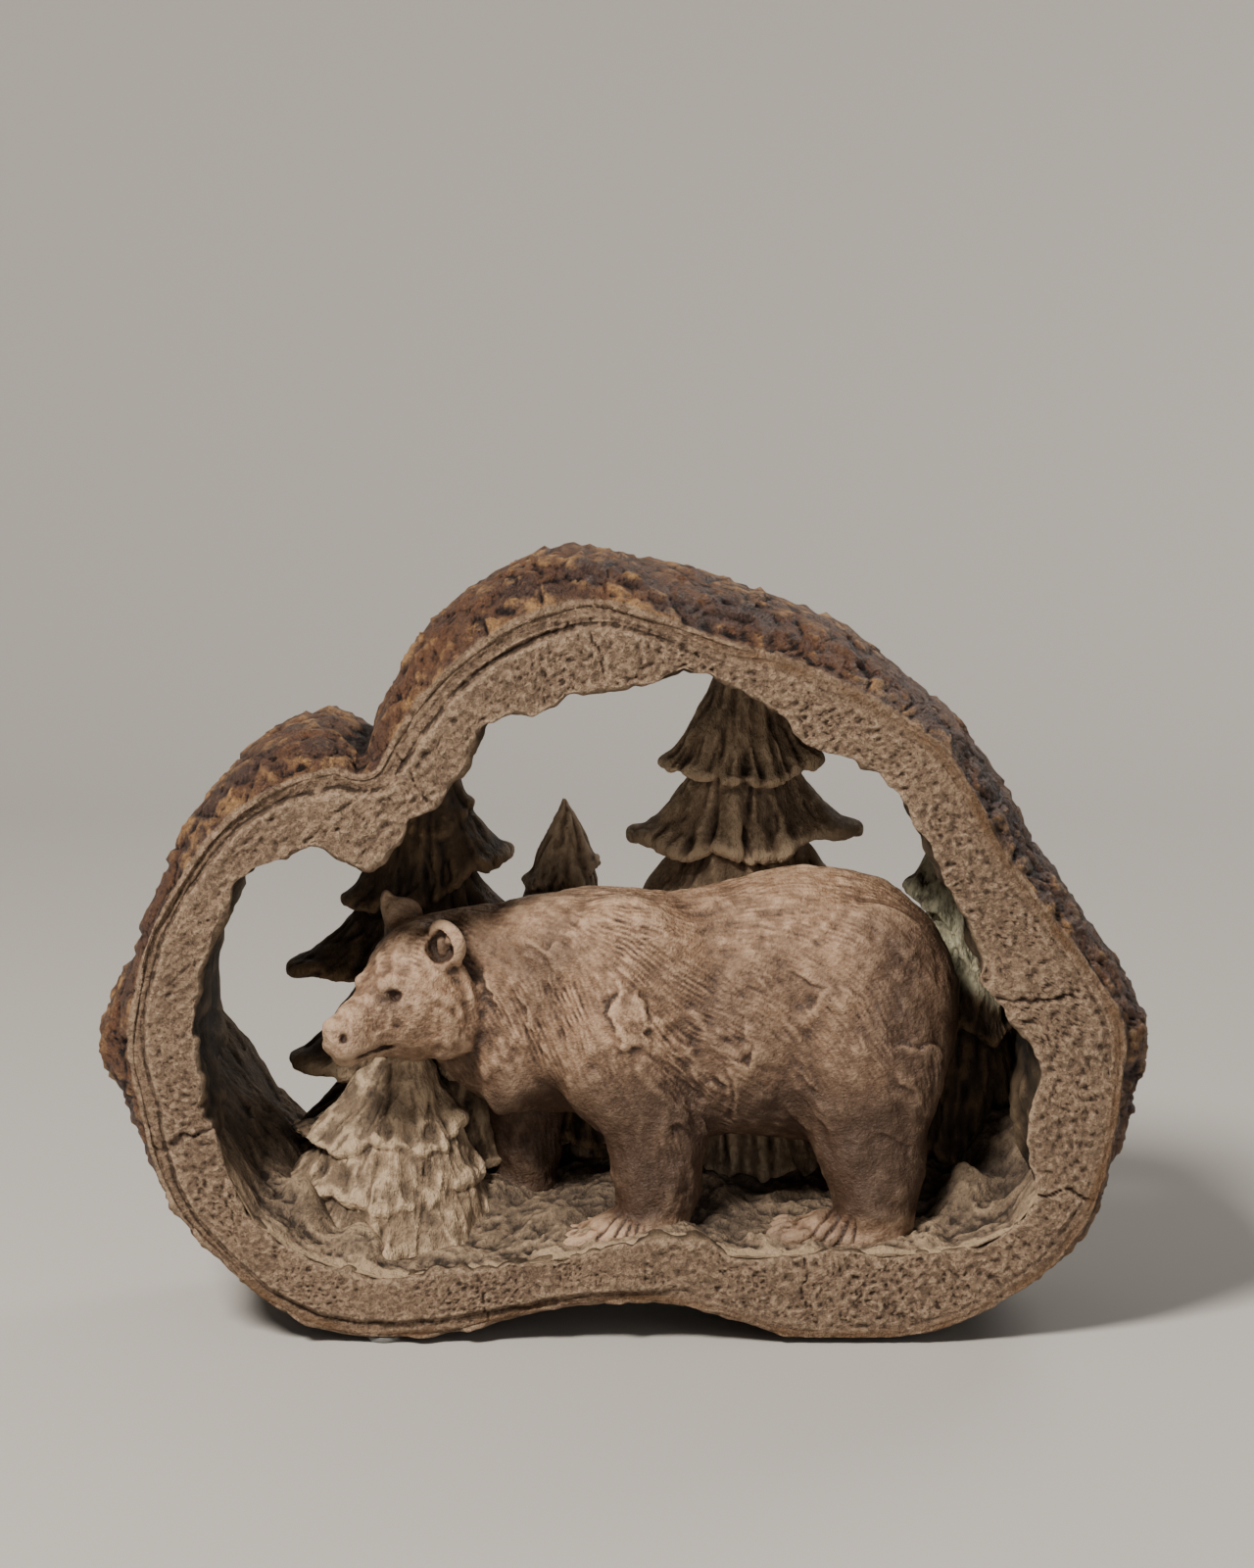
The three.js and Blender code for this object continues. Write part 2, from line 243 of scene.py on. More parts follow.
def readEdges(mesh):
    edges = np.empty(len(mesh.edges) * 2, np.int32)
    mesh.edges.foreach_get("vertices", edges)
    return edges.reshape(-1, 2)


def relax(points, edges, rounds, share=0.5):
    # each round moves every point by share of the way to the mean of its neighbours
    ends = np.concatenate([edges[:, 0], edges[:, 1]])
    others = np.concatenate([edges[:, 1], edges[:, 0]])
    count = np.maximum(np.bincount(ends, minlength=len(points)), 1)
    for _ in range(rounds):
        mean = np.stack([np.bincount(ends, points[others, k], len(points)) / count for k in range(3)], -1)
        points = points + share * (mean - points)
    return points


def standOut(points, normals, edges, rounds):
    # how far each point stands out of the relaxed surface: above 0 on a crest, below 0 in a hollow
    return ((points - relax(points, edges, rounds)) * normals).sum(-1)


def finishMesh(name, mesh, mostTriangles, keep=None):
    # thins a mesh to its share of triangles; points with keep near 1 are thinned least
    if len(mesh.polygons) > mostTriangles:
        thinned = newObject(name, mesh)
        thin = thinned.modifiers.new("thin", "DECIMATE")
        thin.ratio = mostTriangles / len(mesh.polygons)
        if keep is not None:
            group = thinned.vertex_groups.new(name="keep")
            for level in range(1, 5):
                group.add(np.flatnonzero(np.round(keep * 4) == level).tolist(), level / 4, "REPLACE")
            thin.vertex_group = "keep"
            thin.invert_vertex_group = True
            thin.vertex_group_factor = 1.5
        depsgraph = bpy.context.evaluated_depsgraph_get()
        mesh = bpy.data.meshes.new_from_object(thinned.evaluated_get(depsgraph))
        bpy.data.objects.remove(thinned)
        mesh.name = name
    return mesh


def nearbyPairs(points, centres, reach):
    # every pair of a centre and a point whose cubes, reach wide, touch: the points are sorted by cube
    # number, and each centre's 27 cubes are looked up in that order
    low = points.min(0) - 4 * reach
    number = np.array([1, 4096, 4096 * 4096], np.int64)
    cube = np.floor((points - low) / reach).astype(np.int64) @ number
    order = np.argsort(cube)
    cube = cube[order]
    home = np.floor((centres - low) / reach).astype(np.int64)
    for offset in itertools.product((-1, 0, 1), repeat=3):
        wanted = (home + np.array(offset)) @ number
        first = np.searchsorted(cube, wanted, "left")
        found = np.searchsorted(cube, wanted, "right") - first
        which = np.repeat(np.arange(len(centres)), found)
        place = np.arange(found.sum()) - np.repeat(np.cumsum(found) - found, found) + np.repeat(first, found)
        yield which, order[place]


def strokes(points, centres, directions, length, width, depth):
    # tool marks: about each centre a groove along its direction, as deep as depth, whose section is a
    # bell curve and whose ends fade out
    push = np.zeros(len(points))
    reach = float(np.max(length)) / 2
    for which, near in nearbyPairs(points, centres, reach):
        away = points[near] - centres[which]
        along = (away * directions[which]).sum(-1)
        sideways = np.sqrt(np.maximum((away**2).sum(-1) - along**2, 0))
        end = 1 - smoothStep(0.5, 1.0, np.abs(along) / (length[which] / 2))
        groove = depth[which] * end * np.exp(-((sideways / width[which]) ** 2))
        push += np.bincount(near, groove, len(points))
    return push


def alongSurface(directions, normals):
    # a direction laid flat in the surface: what points along the
    # normal is taken off, then it is made one long
    flat = directions - (directions * normals).sum(-1, keepdims=True) * normals
    return flat / np.maximum(np.linalg.norm(flat, axis=-1, keepdims=True), 1e-6)


class Wire:
    # a socket of a node tree that Python's own signs work on
    def __init__(self, tree, socket=None):
        self.tree = tree
        self.socket = socket

    def make(self, kind, settings=None, inputs=None, output=0):
        # one node: its settings, then values or links for its sockets; gives the output asked for
        node = self.tree.nodes.new(kind)
        for key, value in (settings or {}).items():
            setattr(node, key, value)
        for key, value in (inputs or {}).items():
            if isinstance(value, Wire):
                self.tree.links.new(value.socket, node.inputs[key])
            else:
                node.inputs[key].default_value = value
        return Wire(self.tree, node.outputs[output]) if node.outputs else None

    def maths(self, operation, first, second=0.0, clamp=False):
        return self.make("ShaderNodeMath", dict(operation=operation, use_clamp=clamp), {0: first, 1: second})

    def __add__(self, other):
        return self.maths("ADD", self, other)

    def __radd__(self, other):
        return self.maths("ADD", other, self)

    def __sub__(self, other):
        return self.maths("SUBTRACT", self, other)

    def __rsub__(self, other):
        return self.maths("SUBTRACT", other, self)

    def __mul__(self, other):
        return self.maths("MULTIPLY", self, other)

    def __rmul__(self, other):
        return self.maths("MULTIPLY", other, self)

    def clamped(self):
        return self.maths("ADD", self, 0.0, clamp=True)

    def between(self, low, high):
        # 0 at low, 1 at high, straight and clamped between
        return self.maths("MULTIPLY", self - low, 1 / (high - low), clamp=True)

    def mixed(self, first, second):
        # the first colour where this is 0, the second where it is 1
        inputs = {"Factor": self, 6: first, 7: second}
        return self.make("ShaderNodeMix", dict(data_type="RGBA"), inputs, output=2)


def colour(red, green, blue):
    return (red, green, blue, 1)


def newPaint(name):
    material = bpy.data.materials.new(name)
    material.use_nodes = True
    tree = material.node_tree
    tree.nodes.clear()
    return material, Wire(tree)


def attribute(wire, name):
    return wire.make("ShaderNodeAttribute", dict(attribute_name=name), output="Fac")


def grain(wire, size, detail, roughness, stretch=(1, 1, 1)):
    # noise from 0 to 1 whose largest features are about size millimetres
    place = wire.make("ShaderNodeTexCoord", output="Object")
    place = wire.make("ShaderNodeMapping", {}, {"Vector": place, "Scale": tuple(1 / s for s in stretch)})
    inputs = {"Vector": place, "Scale": 1000 / size, "Detail": detail, "Roughness": roughness}
    return wire.make("ShaderNodeTexNoise", {}, inputs)


def finishShader(material, wire, inputs):
    shader = wire.make("ShaderNodeBsdfPrincipled", {}, inputs)
    wire.make("ShaderNodeOutputMaterial", {}, {"Surface": shader})
    return material


def finishPaint(material, wire, baseColour, roughness, bumps):
    # bumps: pairs of a height from 0 to 1 and its depth in millimetres
    normal = None
    for height, depth in bumps:
        inputs = {"Strength": 1.0, "Distance": depth * mm, "Height": height}
        if normal is not None:
            inputs["Normal"] = normal
        normal = wire.make("ShaderNodeBump", {}, inputs)
    inputs = {"Base Color": baseColour, "Roughness": roughness, "Normal": normal, "Specular IOR Level": 0.35}
    return finishShader(material, wire, inputs)


log = dict(
    stepsRound=1040,
    onCut=20,  # a step of the section that lies on the front cut
    front=-47.0,
    lowest=2.3,  # the bark stays above this, so the log stands on its pads
    mostTriangles=196000,
    # clockwise from the notch: outer edge of the front cut x, z,
    # inner edge x, z, how far the bark stands out
    wall=[
        (-80, 187, -68, 171, 6), (-73, 197, -57, 177, 8), (-65, 209, -50, 190, 10),
        (-54, 221, -41, 203, 12), (-38, 233, -30, 207, 13), (-22, 240, -16, 212, 13),
        (-6, 242, -1, 215, 12), (12, 237, 14, 217, 12), (33, 229, 29, 218, 13), (54, 223, 45, 209, 12),
        (74, 214, 61, 197, 11), (91, 204, 78, 189, 8), (105, 192, 90, 179, 8), (116, 174, 98, 162, 9),
        (126, 156, 106, 147, 9), (139, 139, 113, 133, 9), (152, 122, 117, 120, 9),
        (160, 107, 127, 107, 10), (161, 88, 133, 91, 9), (159, 70, 130, 69, 8), (153, 46, 135, 50, 5),
        (141, 27, 126, 38, 3), (124, 14, 108, 31, 2), (103, 4.5, 92, 30, 1), (80, 1.2, 74, 30, 0),
        (58, 1.4, 54, 29, 0), (40, 6.5, 36, 30, 0), (20, 12, 17, 36, 0), (0, 13, 0, 32, 0),
        (-20, 10.5, -22, 28, 0), (-40, 6, -42, 25, 0), (-60, 2, -60, 23, 0), (-80, 1.2, -77, 22, 0),
        (-99, 5, -93, 26, 1), (-116, 14, -107, 32, 2), (-131, 28, -118, 41, 3), (-144, 43, -126, 54, 4),
        (-151, 60, -131, 69, 5), (-155, 79, -135, 86, 8), (-158, 97, -137, 104, 12),
        (-156, 116, -135, 120, 7), (-151, 135, -129, 136, 5), (-141, 153, -122, 151, 6),
        (-128, 170, -109, 160, 8), (-111, 182, -95, 162, 11), (-93, 188, -80, 156, 11),
    ],
    # the wall's section: 0 to 1 across the wall from its inner edge to its outer,
    # share of the stand-out, y, steps to the next
    section=[
        (0.00, 0, -45.8, 3), (0.02, 0, -47, 44), (0.985, 0, -47, 3), (1.0, 0.05, -45.5, 4),
        (1.0, 0.45, -40, 6), (1.0, 0.85, -31, 12), (1.0, 1.0, -14, 10), (1.0, 1.0, 6, 9),
        (1.0, 0.92, 28, 6), (1.0, 0.78, 42, 3), (0.97, 0.7, 46.3, 2), (0.9, 0.6, 47, 13),
        (0.06, 0, 47, 2), (0.0, 0, 45.5, 8), (0.0, 0, 15, 12), (0.0, 0, -20, 14),
    ],
    rimWidth=5.6,  # the outer rings of the cut, set back behind the rest
    rimSetBack=2.6,
    # radial cracks in the cut: x, z of a point on the crack, its width and depth
    cracks=[
        (-140, 69, 0.6, 1.3), (147, 50, 0.5, 1.2), (126, 107, 0.6, 1.3), (60, 14, 0.4, 0.7),
        (-8, 229, 0.5, 0.7), (-44, 12, 0.4, 0.7), (-66, 187, 0.5, 0.8),
    ],
    # slabs of bark that stand out: x, y, z, half size round the log, half size along it, height
    slabs=[
        (-168, -6, 98, 20, 26, 3.5), (-16, -10, 256, 17, 22, 3.0), (-62, -16, 226, 11, 20, 2.5),
        (-146, -20, 165, 12, 18, 2.5), (-112, -6, 196, 13, 24, 2.2), (60, -4, 236, 18, 22, 2.4),
        (171, -24, 96, 13, 16, 2.6), (166, -26, 66, 9, 14, 2.2), (128, 0, 176, 16, 26, 2.0),
        (24, 20, 250, 16, 16, 2.2), (-88, 16, 202, 10, 20, 2.0), (-164, 24, 60, 14, 14, 2.0),
    ],
)


def closedCurves(rows, count):
    # Catmull-Rom curves through the rows, all closed, read at count
    # places that are evenly spaced along the middle of the wall
    rows = np.array(rows, float)
    total = len(rows)

    def read(u):
        i = np.floor(u).astype(int)
        t = (u - i)[:, None]
        a, b, c, d = (rows[(i + k) % total] for k in (-1, 0, 1, 2))
        curve = 2 * b + (c - a) * t + (2 * a - 5 * b + 4 * c - d) * t**2
        return 0.5 * (curve + (3 * b - a - 3 * c + d) * t**3)

    fine = np.linspace(0, total, total * 40 + 1)
    path = read(fine)
    middle = (path[:, 0:2] + path[:, 2:4]) / 2
    walked = np.concatenate([[0], np.cumsum(np.linalg.norm(np.diff(middle, axis=0), axis=1))])
    return read(np.interp(np.arange(count) / count * walked[-1], walked, fine))


def logGrid():
    # P = inner edge + across * (outer edge - inner edge) + share * stand-out * the wall's own outward
    # direction, at the section's y; the section's corners are eased by averaging neighbours along it
    table = closedCurves(log["wall"], log["stepsRound"])
    outer, inner, bark = table[:, 0:2], table[:, 2:4], table[:, 4]
    nodes = np.array(log["section"], float)
    steps = nodes[:, 3].astype(int)
    turn = np.concatenate([[0], np.cumsum(steps)])
    at = np.arange(turn[-1])
    section = np.stack([np.interp(at, turn, np.append(nodes[:, k], nodes[0, k])) for k in range(3)], -1)
    for _ in range(2):
        section = (np.roll(section, 1, 0) + 2 * section + np.roll(section, -1, 0)) / 4
    across, share, y = section.T
    wall = outer - inner
    width = np.linalg.norm(wall, axis=1)
    away = wall / width[:, None]
    flat = inner[:, None] + wall[:, None] * across[None, :, None]
    flat = flat + away[:, None] * (bark[:, None] * share)[..., None]
    points = np.stack([flat[..., 0], np.broadcast_to(y, flat.shape[:2]), flat[..., 1]], -1)
    return points, across, y, width, away


def gridNormals(points):
    # the cross product of the grid's two directions; both are closed
    around = np.roll(points, -1, 0) - np.roll(points, 1, 0)
    over = np.roll(points, -1, 1) - np.roll(points, 1, 1)
    normals = np.cross(around, over)
    return normals / np.maximum(np.linalg.norm(normals, axis=-1, keepdims=True), 1e-9)


def cutRelief(x, z, fromRim, fromHollow):
    # the tooled face of the cut. Diagonal gouges on the left, flat flakes along the foot, fine pits
    # everywhere: each is noise stretched its own way, with small holes scattered in patches.
    plane = np.stack([x, z], -1)
    warp = 1.3 * np.stack([noise(plane, 6, 3), noise(plane, 6, 4)], -1)
    plane = plane + warp
    tilt = math.radians(42)
    turned = np.stack(
        [plane[..., 0] * math.cos(tilt) + plane[..., 1] * math.sin(tilt),
         -plane[..., 0] * math.sin(tilt) + plane[..., 1] * math.cos(tilt)], -1)
    gouges = layeredNoise(turned, (4.2, 1.7), 21, 2)
    flakes = layeredNoise(plane, (4.6, 1.5), 25, 2)
    pits = layeredNoise(plane, (1.9, 1.8), 29, 2)
    onLeft = smoothStep(-10, -60, x) * smoothStep(70, 120, z)
    onFoot = smoothStep(52, 34, z) * smoothStep(60, 20, x)
    rough = onLeft * gouges + (1 - onLeft) * (onFoot * (0.5 * flakes + 0.5 * pits) + (1 - onFoot) * pits)
    near, _, _ = cracked(plane, 1.9, 33)
    holes = smoothStep(0.42, 0.14, near) * smoothStep(-0.5, 0.3, noise(plane, 9, 35)) * (1 - 0.5 * onLeft)
    lumps = layeredNoise(plane, (6.5, 5.5), 36, 2)
    broad = noise(plane, 22, 37)
    relief = 0.52 * rough - 0.42 * holes + 0.28 * lumps + 0.7 * broad
    return relief * smoothStep(0.0, 2.5, fromHollow + 1.0) * (0.4 + 0.6 * smoothStep(4.5, 7.5, fromRim))


def rimRelief(x, z, fromRim):
    # the outer rings of the cut lie deeper, behind a dark seam, and show fine layers along the edge;
    # strongest on the left half of the arch and on the left side, nearly gone on the right
    plane = np.stack([x, z], -1)
    onArch = smoothStep(36, 0, x) * smoothStep(170, 190, z)
    onLobe = smoothStep(-60, -76, x) * smoothStep(110, 130, z)
    onSide = smoothStep(-112, -130, x)
    onFoot = smoothStep(45, 30, z) * smoothStep(40, 0, x)
    width = log["rimWidth"] + 2.4 * onArch + 1.5 * noise(plane, 26, 41) + 0.5 * noise(plane, 6, 42)
    strength = 0.18 + 0.82 * np.maximum(np.maximum(onArch, 0.8 * onLobe), np.maximum(onSide, 0.7 * onFoot))
    strength = np.clip(strength + 0.2 * noise(plane, 30, 43), 0.1, 1.1)
    setBack = -log["rimSetBack"] * strength * smoothStep(width, width - 1.0, fromRim)
    seam = -2.4 * strength * np.exp(-(((fromRim - width) / 0.7) ** 2))
    layers = noise(np.stack([fromRim + 1.3 * noise(plane, 12, 44), x * 0.03], -1), (0.9, 1.0), 45)
    return setBack + seam + 0.5 * layers * smoothStep(width, width - 0.8, fromRim)


def barkRelief(points):
    # low plates between narrow furrows, smaller scales on them, sharp crags and crumbs: cell noise and
    # folded noise, stretched along the log
    bent = points + 5.0 * np.stack([noise(points, 18, 51), noise(points, 18, 52), noise(points, 18, 53)], -1)
    near, second, own = cracked(bent, (19, 36, 19), 55)
    furrow = smoothStep(0.0, 0.09, second - near)
    small, other, mine = cracked(bent, (6.5, 12, 6.5), 57)
    scale = smoothStep(0.0, 0.16, other - small)
    crags = 1 - 2 * np.abs(noise(bent, (7, 11, 7), 58))
    crumble = layeredNoise(points, 3.4, 59, 3)
    relief = 0.9 * (furrow - 1) + 1.7 * (own - 0.5) + 0.5 * (scale - 1) + 0.9 * (mine - 0.5)
    relief = relief + 0.8 * crags + 0.6 * crumble - 1.0
    for x, y, z, wide, deep, height in log["slabs"]:
        away = np.hypot(points[..., 0] - x, points[..., 2] - z) / wide
        away = np.sqrt(away**2 + ((points[..., 1] - y) / deep) ** 2) + 0.16 * noise(points, 7, 61)
        relief = relief + 0.55 * height * smoothStep(1.08, 0.9, away)
    return relief + 1.0 * noise(points, 34, 63)


def hollowRelief(points):
    # the inner wall: craggy ridges along the log, lumps and flakes
    ridges = layeredNoise(points, (8, 26, 8), 71, 3)
    lumps = noise(points, 15, 73)
    near, second, own = cracked(points, (11, 18, 11), 75)
    return 1.3 * ridges + 1.4 * lumps + 1.6 * (own - 0.5) * smoothStep(0.0, 0.3, second - near)


def makeLog(material):
    points, across, y, width, away = logGrid()
    normals = gridNormals(points)
    onCut = log["onCut"]
    if (normals[:, onCut, 1] > 0).mean() > 0.5:
        normals = -normals
    x, z = points[..., 0], points[..., 2]
    fromHollow = across[None, :] * width[:, None]
    fromRim = width[:, None] - fromHollow
    plane = np.stack([x, z], -1)

    front = np.broadcast_to(smoothStep(-44.5, -46.6, y), x.shape)
    back = np.broadcast_to(smoothStep(44.5, 46.6, y), x.shape)
    onBark = smoothStep(0.9, 0.99, across) * smoothStep(-46.6, -42.5, y)
    onBark = np.broadcast_to(onBark, x.shape) * (1 - back)
    onHollow = np.broadcast_to(smoothStep(0.06, 0.01, across), x.shape) * (1 - front) * (1 - back)

    cut = cutRelief(x, z, fromRim, fromHollow)
    rim = rimRelief(x, z, fromRim)
    crack = np.zeros_like(x)
    for crackX, crackZ, wide, deep in log["cracks"]:
        home = np.argmin((x[:, onCut] - crackX) ** 2 + (z[:, onCut] - crackZ) ** 2)
        sideways = np.stack([-away[home, 1], away[home, 0]])
        offset = (x - x[home, onCut]) * sideways[0] + (z - z[home, onCut]) * sideways[1]
        offset = offset + 2.2 * noise(plane, 8, 81) + 0.9 * noise(plane, 2.8, 82)
        reach = np.hypot(x - x[home, onCut], z - z[home, onCut])
        crack = crack - deep * np.exp(-((offset / wide) ** 2)) * smoothStep(15, 7, reach)
    plates = barkRelief(points)
    hollow = hollowRelief(points)
    resting = smoothStep(10.0, 3.5, z) * np.broadcast_to(smoothStep(0.5, 0.8, across), x.shape)
    relief = front * (cut + rim + crack) + back * (0.5 * cut + 0.4 * rim)
    relief = relief + onBark * plates * (1 - 0.8 * resting) + onHollow * hollow
    moved = points + normals * relief[..., None]

    # the hollow's edge is chipped at the front, and the bark's front edge is ragged
    chips = 1.7 * noise(plane, 9, 85) + 1.1 * noise(plane, 4, 86)
    chips = chips - 1.5 * smoothStep(0.25, 0.6, noise(plane, 12, 87))
    chipped = smoothStep(0.3, 0.0, across) * np.exp(-np.maximum(y - log["front"], 0) / 12)
    moved[..., 0] += away[:, None, 0] * chips * chipped
    moved[..., 2] += away[:, None, 1] * chips * chipped
    ragged = smoothStep(0.95, 1.0, across) * smoothStep(-30, -42, y) * smoothStep(-47, -45, y)
    moved[..., 1] += ragged * (1.8 * noise(plane, 8, 88) + 1.2 * noise(plane, 3.5, 89))
    lowest = log["lowest"]
    height = moved[..., 2]
    moved[..., 2] = np.maximum(height, lowest + 0.4 * smoothStep(0, 6, np.abs(height - lowest)))

    rows, columns = x.shape
    triangles = gridTriangles(rows, columns, True, True)
    flatPoints = moved.reshape(-1, 3)
    lipShare = 0.25 + 0.75 * np.maximum(smoothStep(10, 50, x), smoothStep(30, 15, z))
    nearLip = front * smoothStep(4.6, 2.4, fromRim) * lipShare
    nearLip = np.maximum(nearLip, onBark * np.broadcast_to(smoothStep(-36, -43, y), x.shape))
    values = dict(bark=onBark, hollow=onHollow, height=np.clip(onBark * plates, -4, 5), lip=nearLip)
    mesh = makeMesh("log_slice", flatPoints, triangles, {k: v.ravel() for k, v in values.items()})
    if readNormals(mesh).reshape(rows, columns, 3)[:, onCut, 1].mean() > 0:
        mesh.flip_normals()
    keep = 0.25 + 0.75 * np.broadcast_to(smoothStep(-20, -40, y), x.shape)
    mesh = finishMesh("log_slice", mesh, log["mostTriangles"], keep.ravel())
    addCrests(mesh)
    return addPiece("log_slice", mesh, material)


def addCrests(mesh):
    # crest and hollow numbers for the paint, fine and broad
    points = readPoints(mesh)
    normals = readNormals(mesh)
    edges = readEdges(mesh)
    for key, rounds in (("fine", 4), ("broad", 40)):
        putNumbers(mesh, {key: standOut(points, normals, edges, rounds)})


ground = dict(
    steps=(470, 118),  # along x, and from front to back
    # x, height of the front lip, height of the hidden underside
    lip=[
        (-139, 74, 66), (-128, 60, 45), (-118, 42, 33), (-107, 33, 22), (-93, 27, 15), (-77, 23, 13),
        (-42, 26, 15), (-22, 29, 18), (0, 33, 22), (17, 36, 22), (36, 31, 18), (74, 31, 15),
        (108, 32, 20), (126, 39, 30), (136, 52, 40), (146, 76, 68),
    ],
    rise=22.0,  # from the front to the back
    deep=92.0,
    # rocks and lumps: x, y, height, half width along x and along y
    lumps=[
        (112, -18, 13, 7, 7), (124, 4, 14, 10, 14), (96, 8, 8, 9, 12), (30, -8, 6, 10, 10),
        (-24, -20, 5, 9, 8), (-46, -2, 9, 12, 12), (-104, -22, 12, 8, 9), (-116, 6, 12, 9, 16),
        (-84, -32, 8, 7, 7),
    ],
)


def groundTop(x, y):
    # height = the front lip's, plus the rise times the way back, plus a bell for each lump
    table = np.array(ground["lip"], float)
    back = (y + ground["deep"] / 2) / ground["deep"]
    height = np.interp(x, table[:, 0], table[:, 1]) - 1.2 + ground["rise"] * back
    for lumpX, lumpY, rise, wide, deep in ground["lumps"]:
        height = height + rise * np.exp(-(((x - lumpX) / wide) ** 2) - ((y - lumpY) / deep) ** 2)
    return height


def makeGround(material):
    # a closed sleeve along x: its section runs back over the top
    # and forward again along the hidden underside
    along, over = ground["steps"]
    table = np.array(ground["lip"], float)
    x = np.linspace(table[0, 0], table[-1, 0], along)[:, None]
    y = np.linspace(-ground["deep"] / 2, ground["deep"] / 2, over)[None, :]
    top = groundTop(x, y)
    plane = np.stack(np.broadcast_arrays(x, y), -1)
    near, _, own = cracked(plane + 3 * noise(plane, 8, 101)[..., None], (12, 9), 103)
    stones = (1 - near) * (0.3 + own)
    ripples = layeredNoise(plane, (7, 4), 105, 3)
    crags = 1 - 2 * np.abs(layeredNoise(plane + 3 * ripples[..., None], (14, 10), 107, 2))
    inward = smoothStep(-45.5, -38, y)
    grit = layeredNoise(plane, 2.6, 108, 2)
    top = top + (1.9 * stones - 1.2 + 0.7 * ripples + 1.3 * crags + 0.45 * grit) * (0.25 + 0.75 * inward)
    under = np.interp(x, table[:, 0], table[:, 2]) + 0 * y
    top = np.maximum(top, under + 2)
    xs = np.concatenate([x + 0 * y, (x + 0 * y)[:, ::-24]], 1)
    ys = np.concatenate([0 * x + y, (0 * x + y)[:, ::-24]], 1)
    zs = np.concatenate([top, under[:, ::-24]], 1)
    rings = np.stack([xs, ys, zs], -1)
    points, triangles = skin(rings)
    # painted shade, with darker paint: darker towards the back of the hollow, sooner under the bear, in
    # patches
    patches = 0.75 + 0.35 * noise(points, 16, 109)
    underBear = smoothStep(-24, -8, points[:, 0]) * smoothStep(96, 86, points[:, 0])
    deep = smoothStep(-46 + 2 * underBear, -14 - 12 * underBear, points[:, 1]) * patches
    mesh = makeMesh("forest_floor", points, triangles, dict(shade=deep))
    if readNormals(mesh)[(along // 2) * rings.shape[1] + over // 2, 2] < 0:
        mesh.flip_normals()
    addCrests(mesh)
    return addPiece("forest_floor", mesh, material)


conifers = dict(
    voxel=0.95,
    mostTriangles=190000,
    sides=160,
    knifeMarks=2600,
    front=-44.5,
    back=43.0,
    # stem x, y, how curved the flanks are, how deep the drapes hang, how deep the folds are,
    # and the tiers from the top: height, half width there, reach and height of
    # the left tip and of the right tip, reach to front and back, number of drapes, thickness of the edge
    trees=dict(
        tall=(41, 27, 1.3, 6.5, 1.5, [
            (222, 5, (27, 179), (26, 181), 14, 3, 4.5), (192, 9, (38, 155), (39, 157), 18, 5, 5.0),
            (167, 14, (44, 127), (44, 127), 18.5, 6, 5.0), (138, 20, (50, 90), (50, 90), 19, 7, 5.0),
            (104, 24, (57, 46), (55, 46), 19.5, 7, 5.0),
        ]),
        sapling=(-19, 29, 1.0, 4.5, 1.5, [
            (168, 0.8, (13.5, 138), (10.5, 145), 11, 3, 2.5), (152, 6, (20, 118), (15, 124), 14, 4, 3.0),
            (134, 10, (27, 92), (24, 96), 16, 5, 4.0), (108, 12, (33, 56), (33, 56), 17, 6, 4.0),
        ]),
        left=(-64, 25, 1.25, 5.5, 1.5, [
            (186, 6, (15, 158), (14, 166), 12, 3, 4.0), (174, 8, (29, 133), (27, 150), 16, 4, 4.5),
            (148, 12, (47, 110), (36, 120), 18, 5, 5.0), (121, 15, (48, 78), (42, 86), 20, 6, 5.0),
            (94, 18, (52, 50), (46, 52), 20.5, 7, 5.0),
        ]),
        right=(115, 25, 1.2, 5.5, 1.5, [
            (165, 5, (18.5, 138), (20, 104), 15, 3, 4.0),
            (138, 9, (24, 98), (18, 92), 19, 5, 4.5),
            (106, 13, (29, 52), (24, 56), 20, 6, 5.0),
        ]),
        low=(-72, -1, 1.05, 6.0, 1.0, [
            (93, 3, (38, 60), (19, 64), 20, 3, 3.5),
            (86, 8, (43, 44), (25, 47), 27, 4, 3.5),
            (70, 14, (47, 28), (33, 27), 34, 5, 4.5),
        ]),
    ),
)


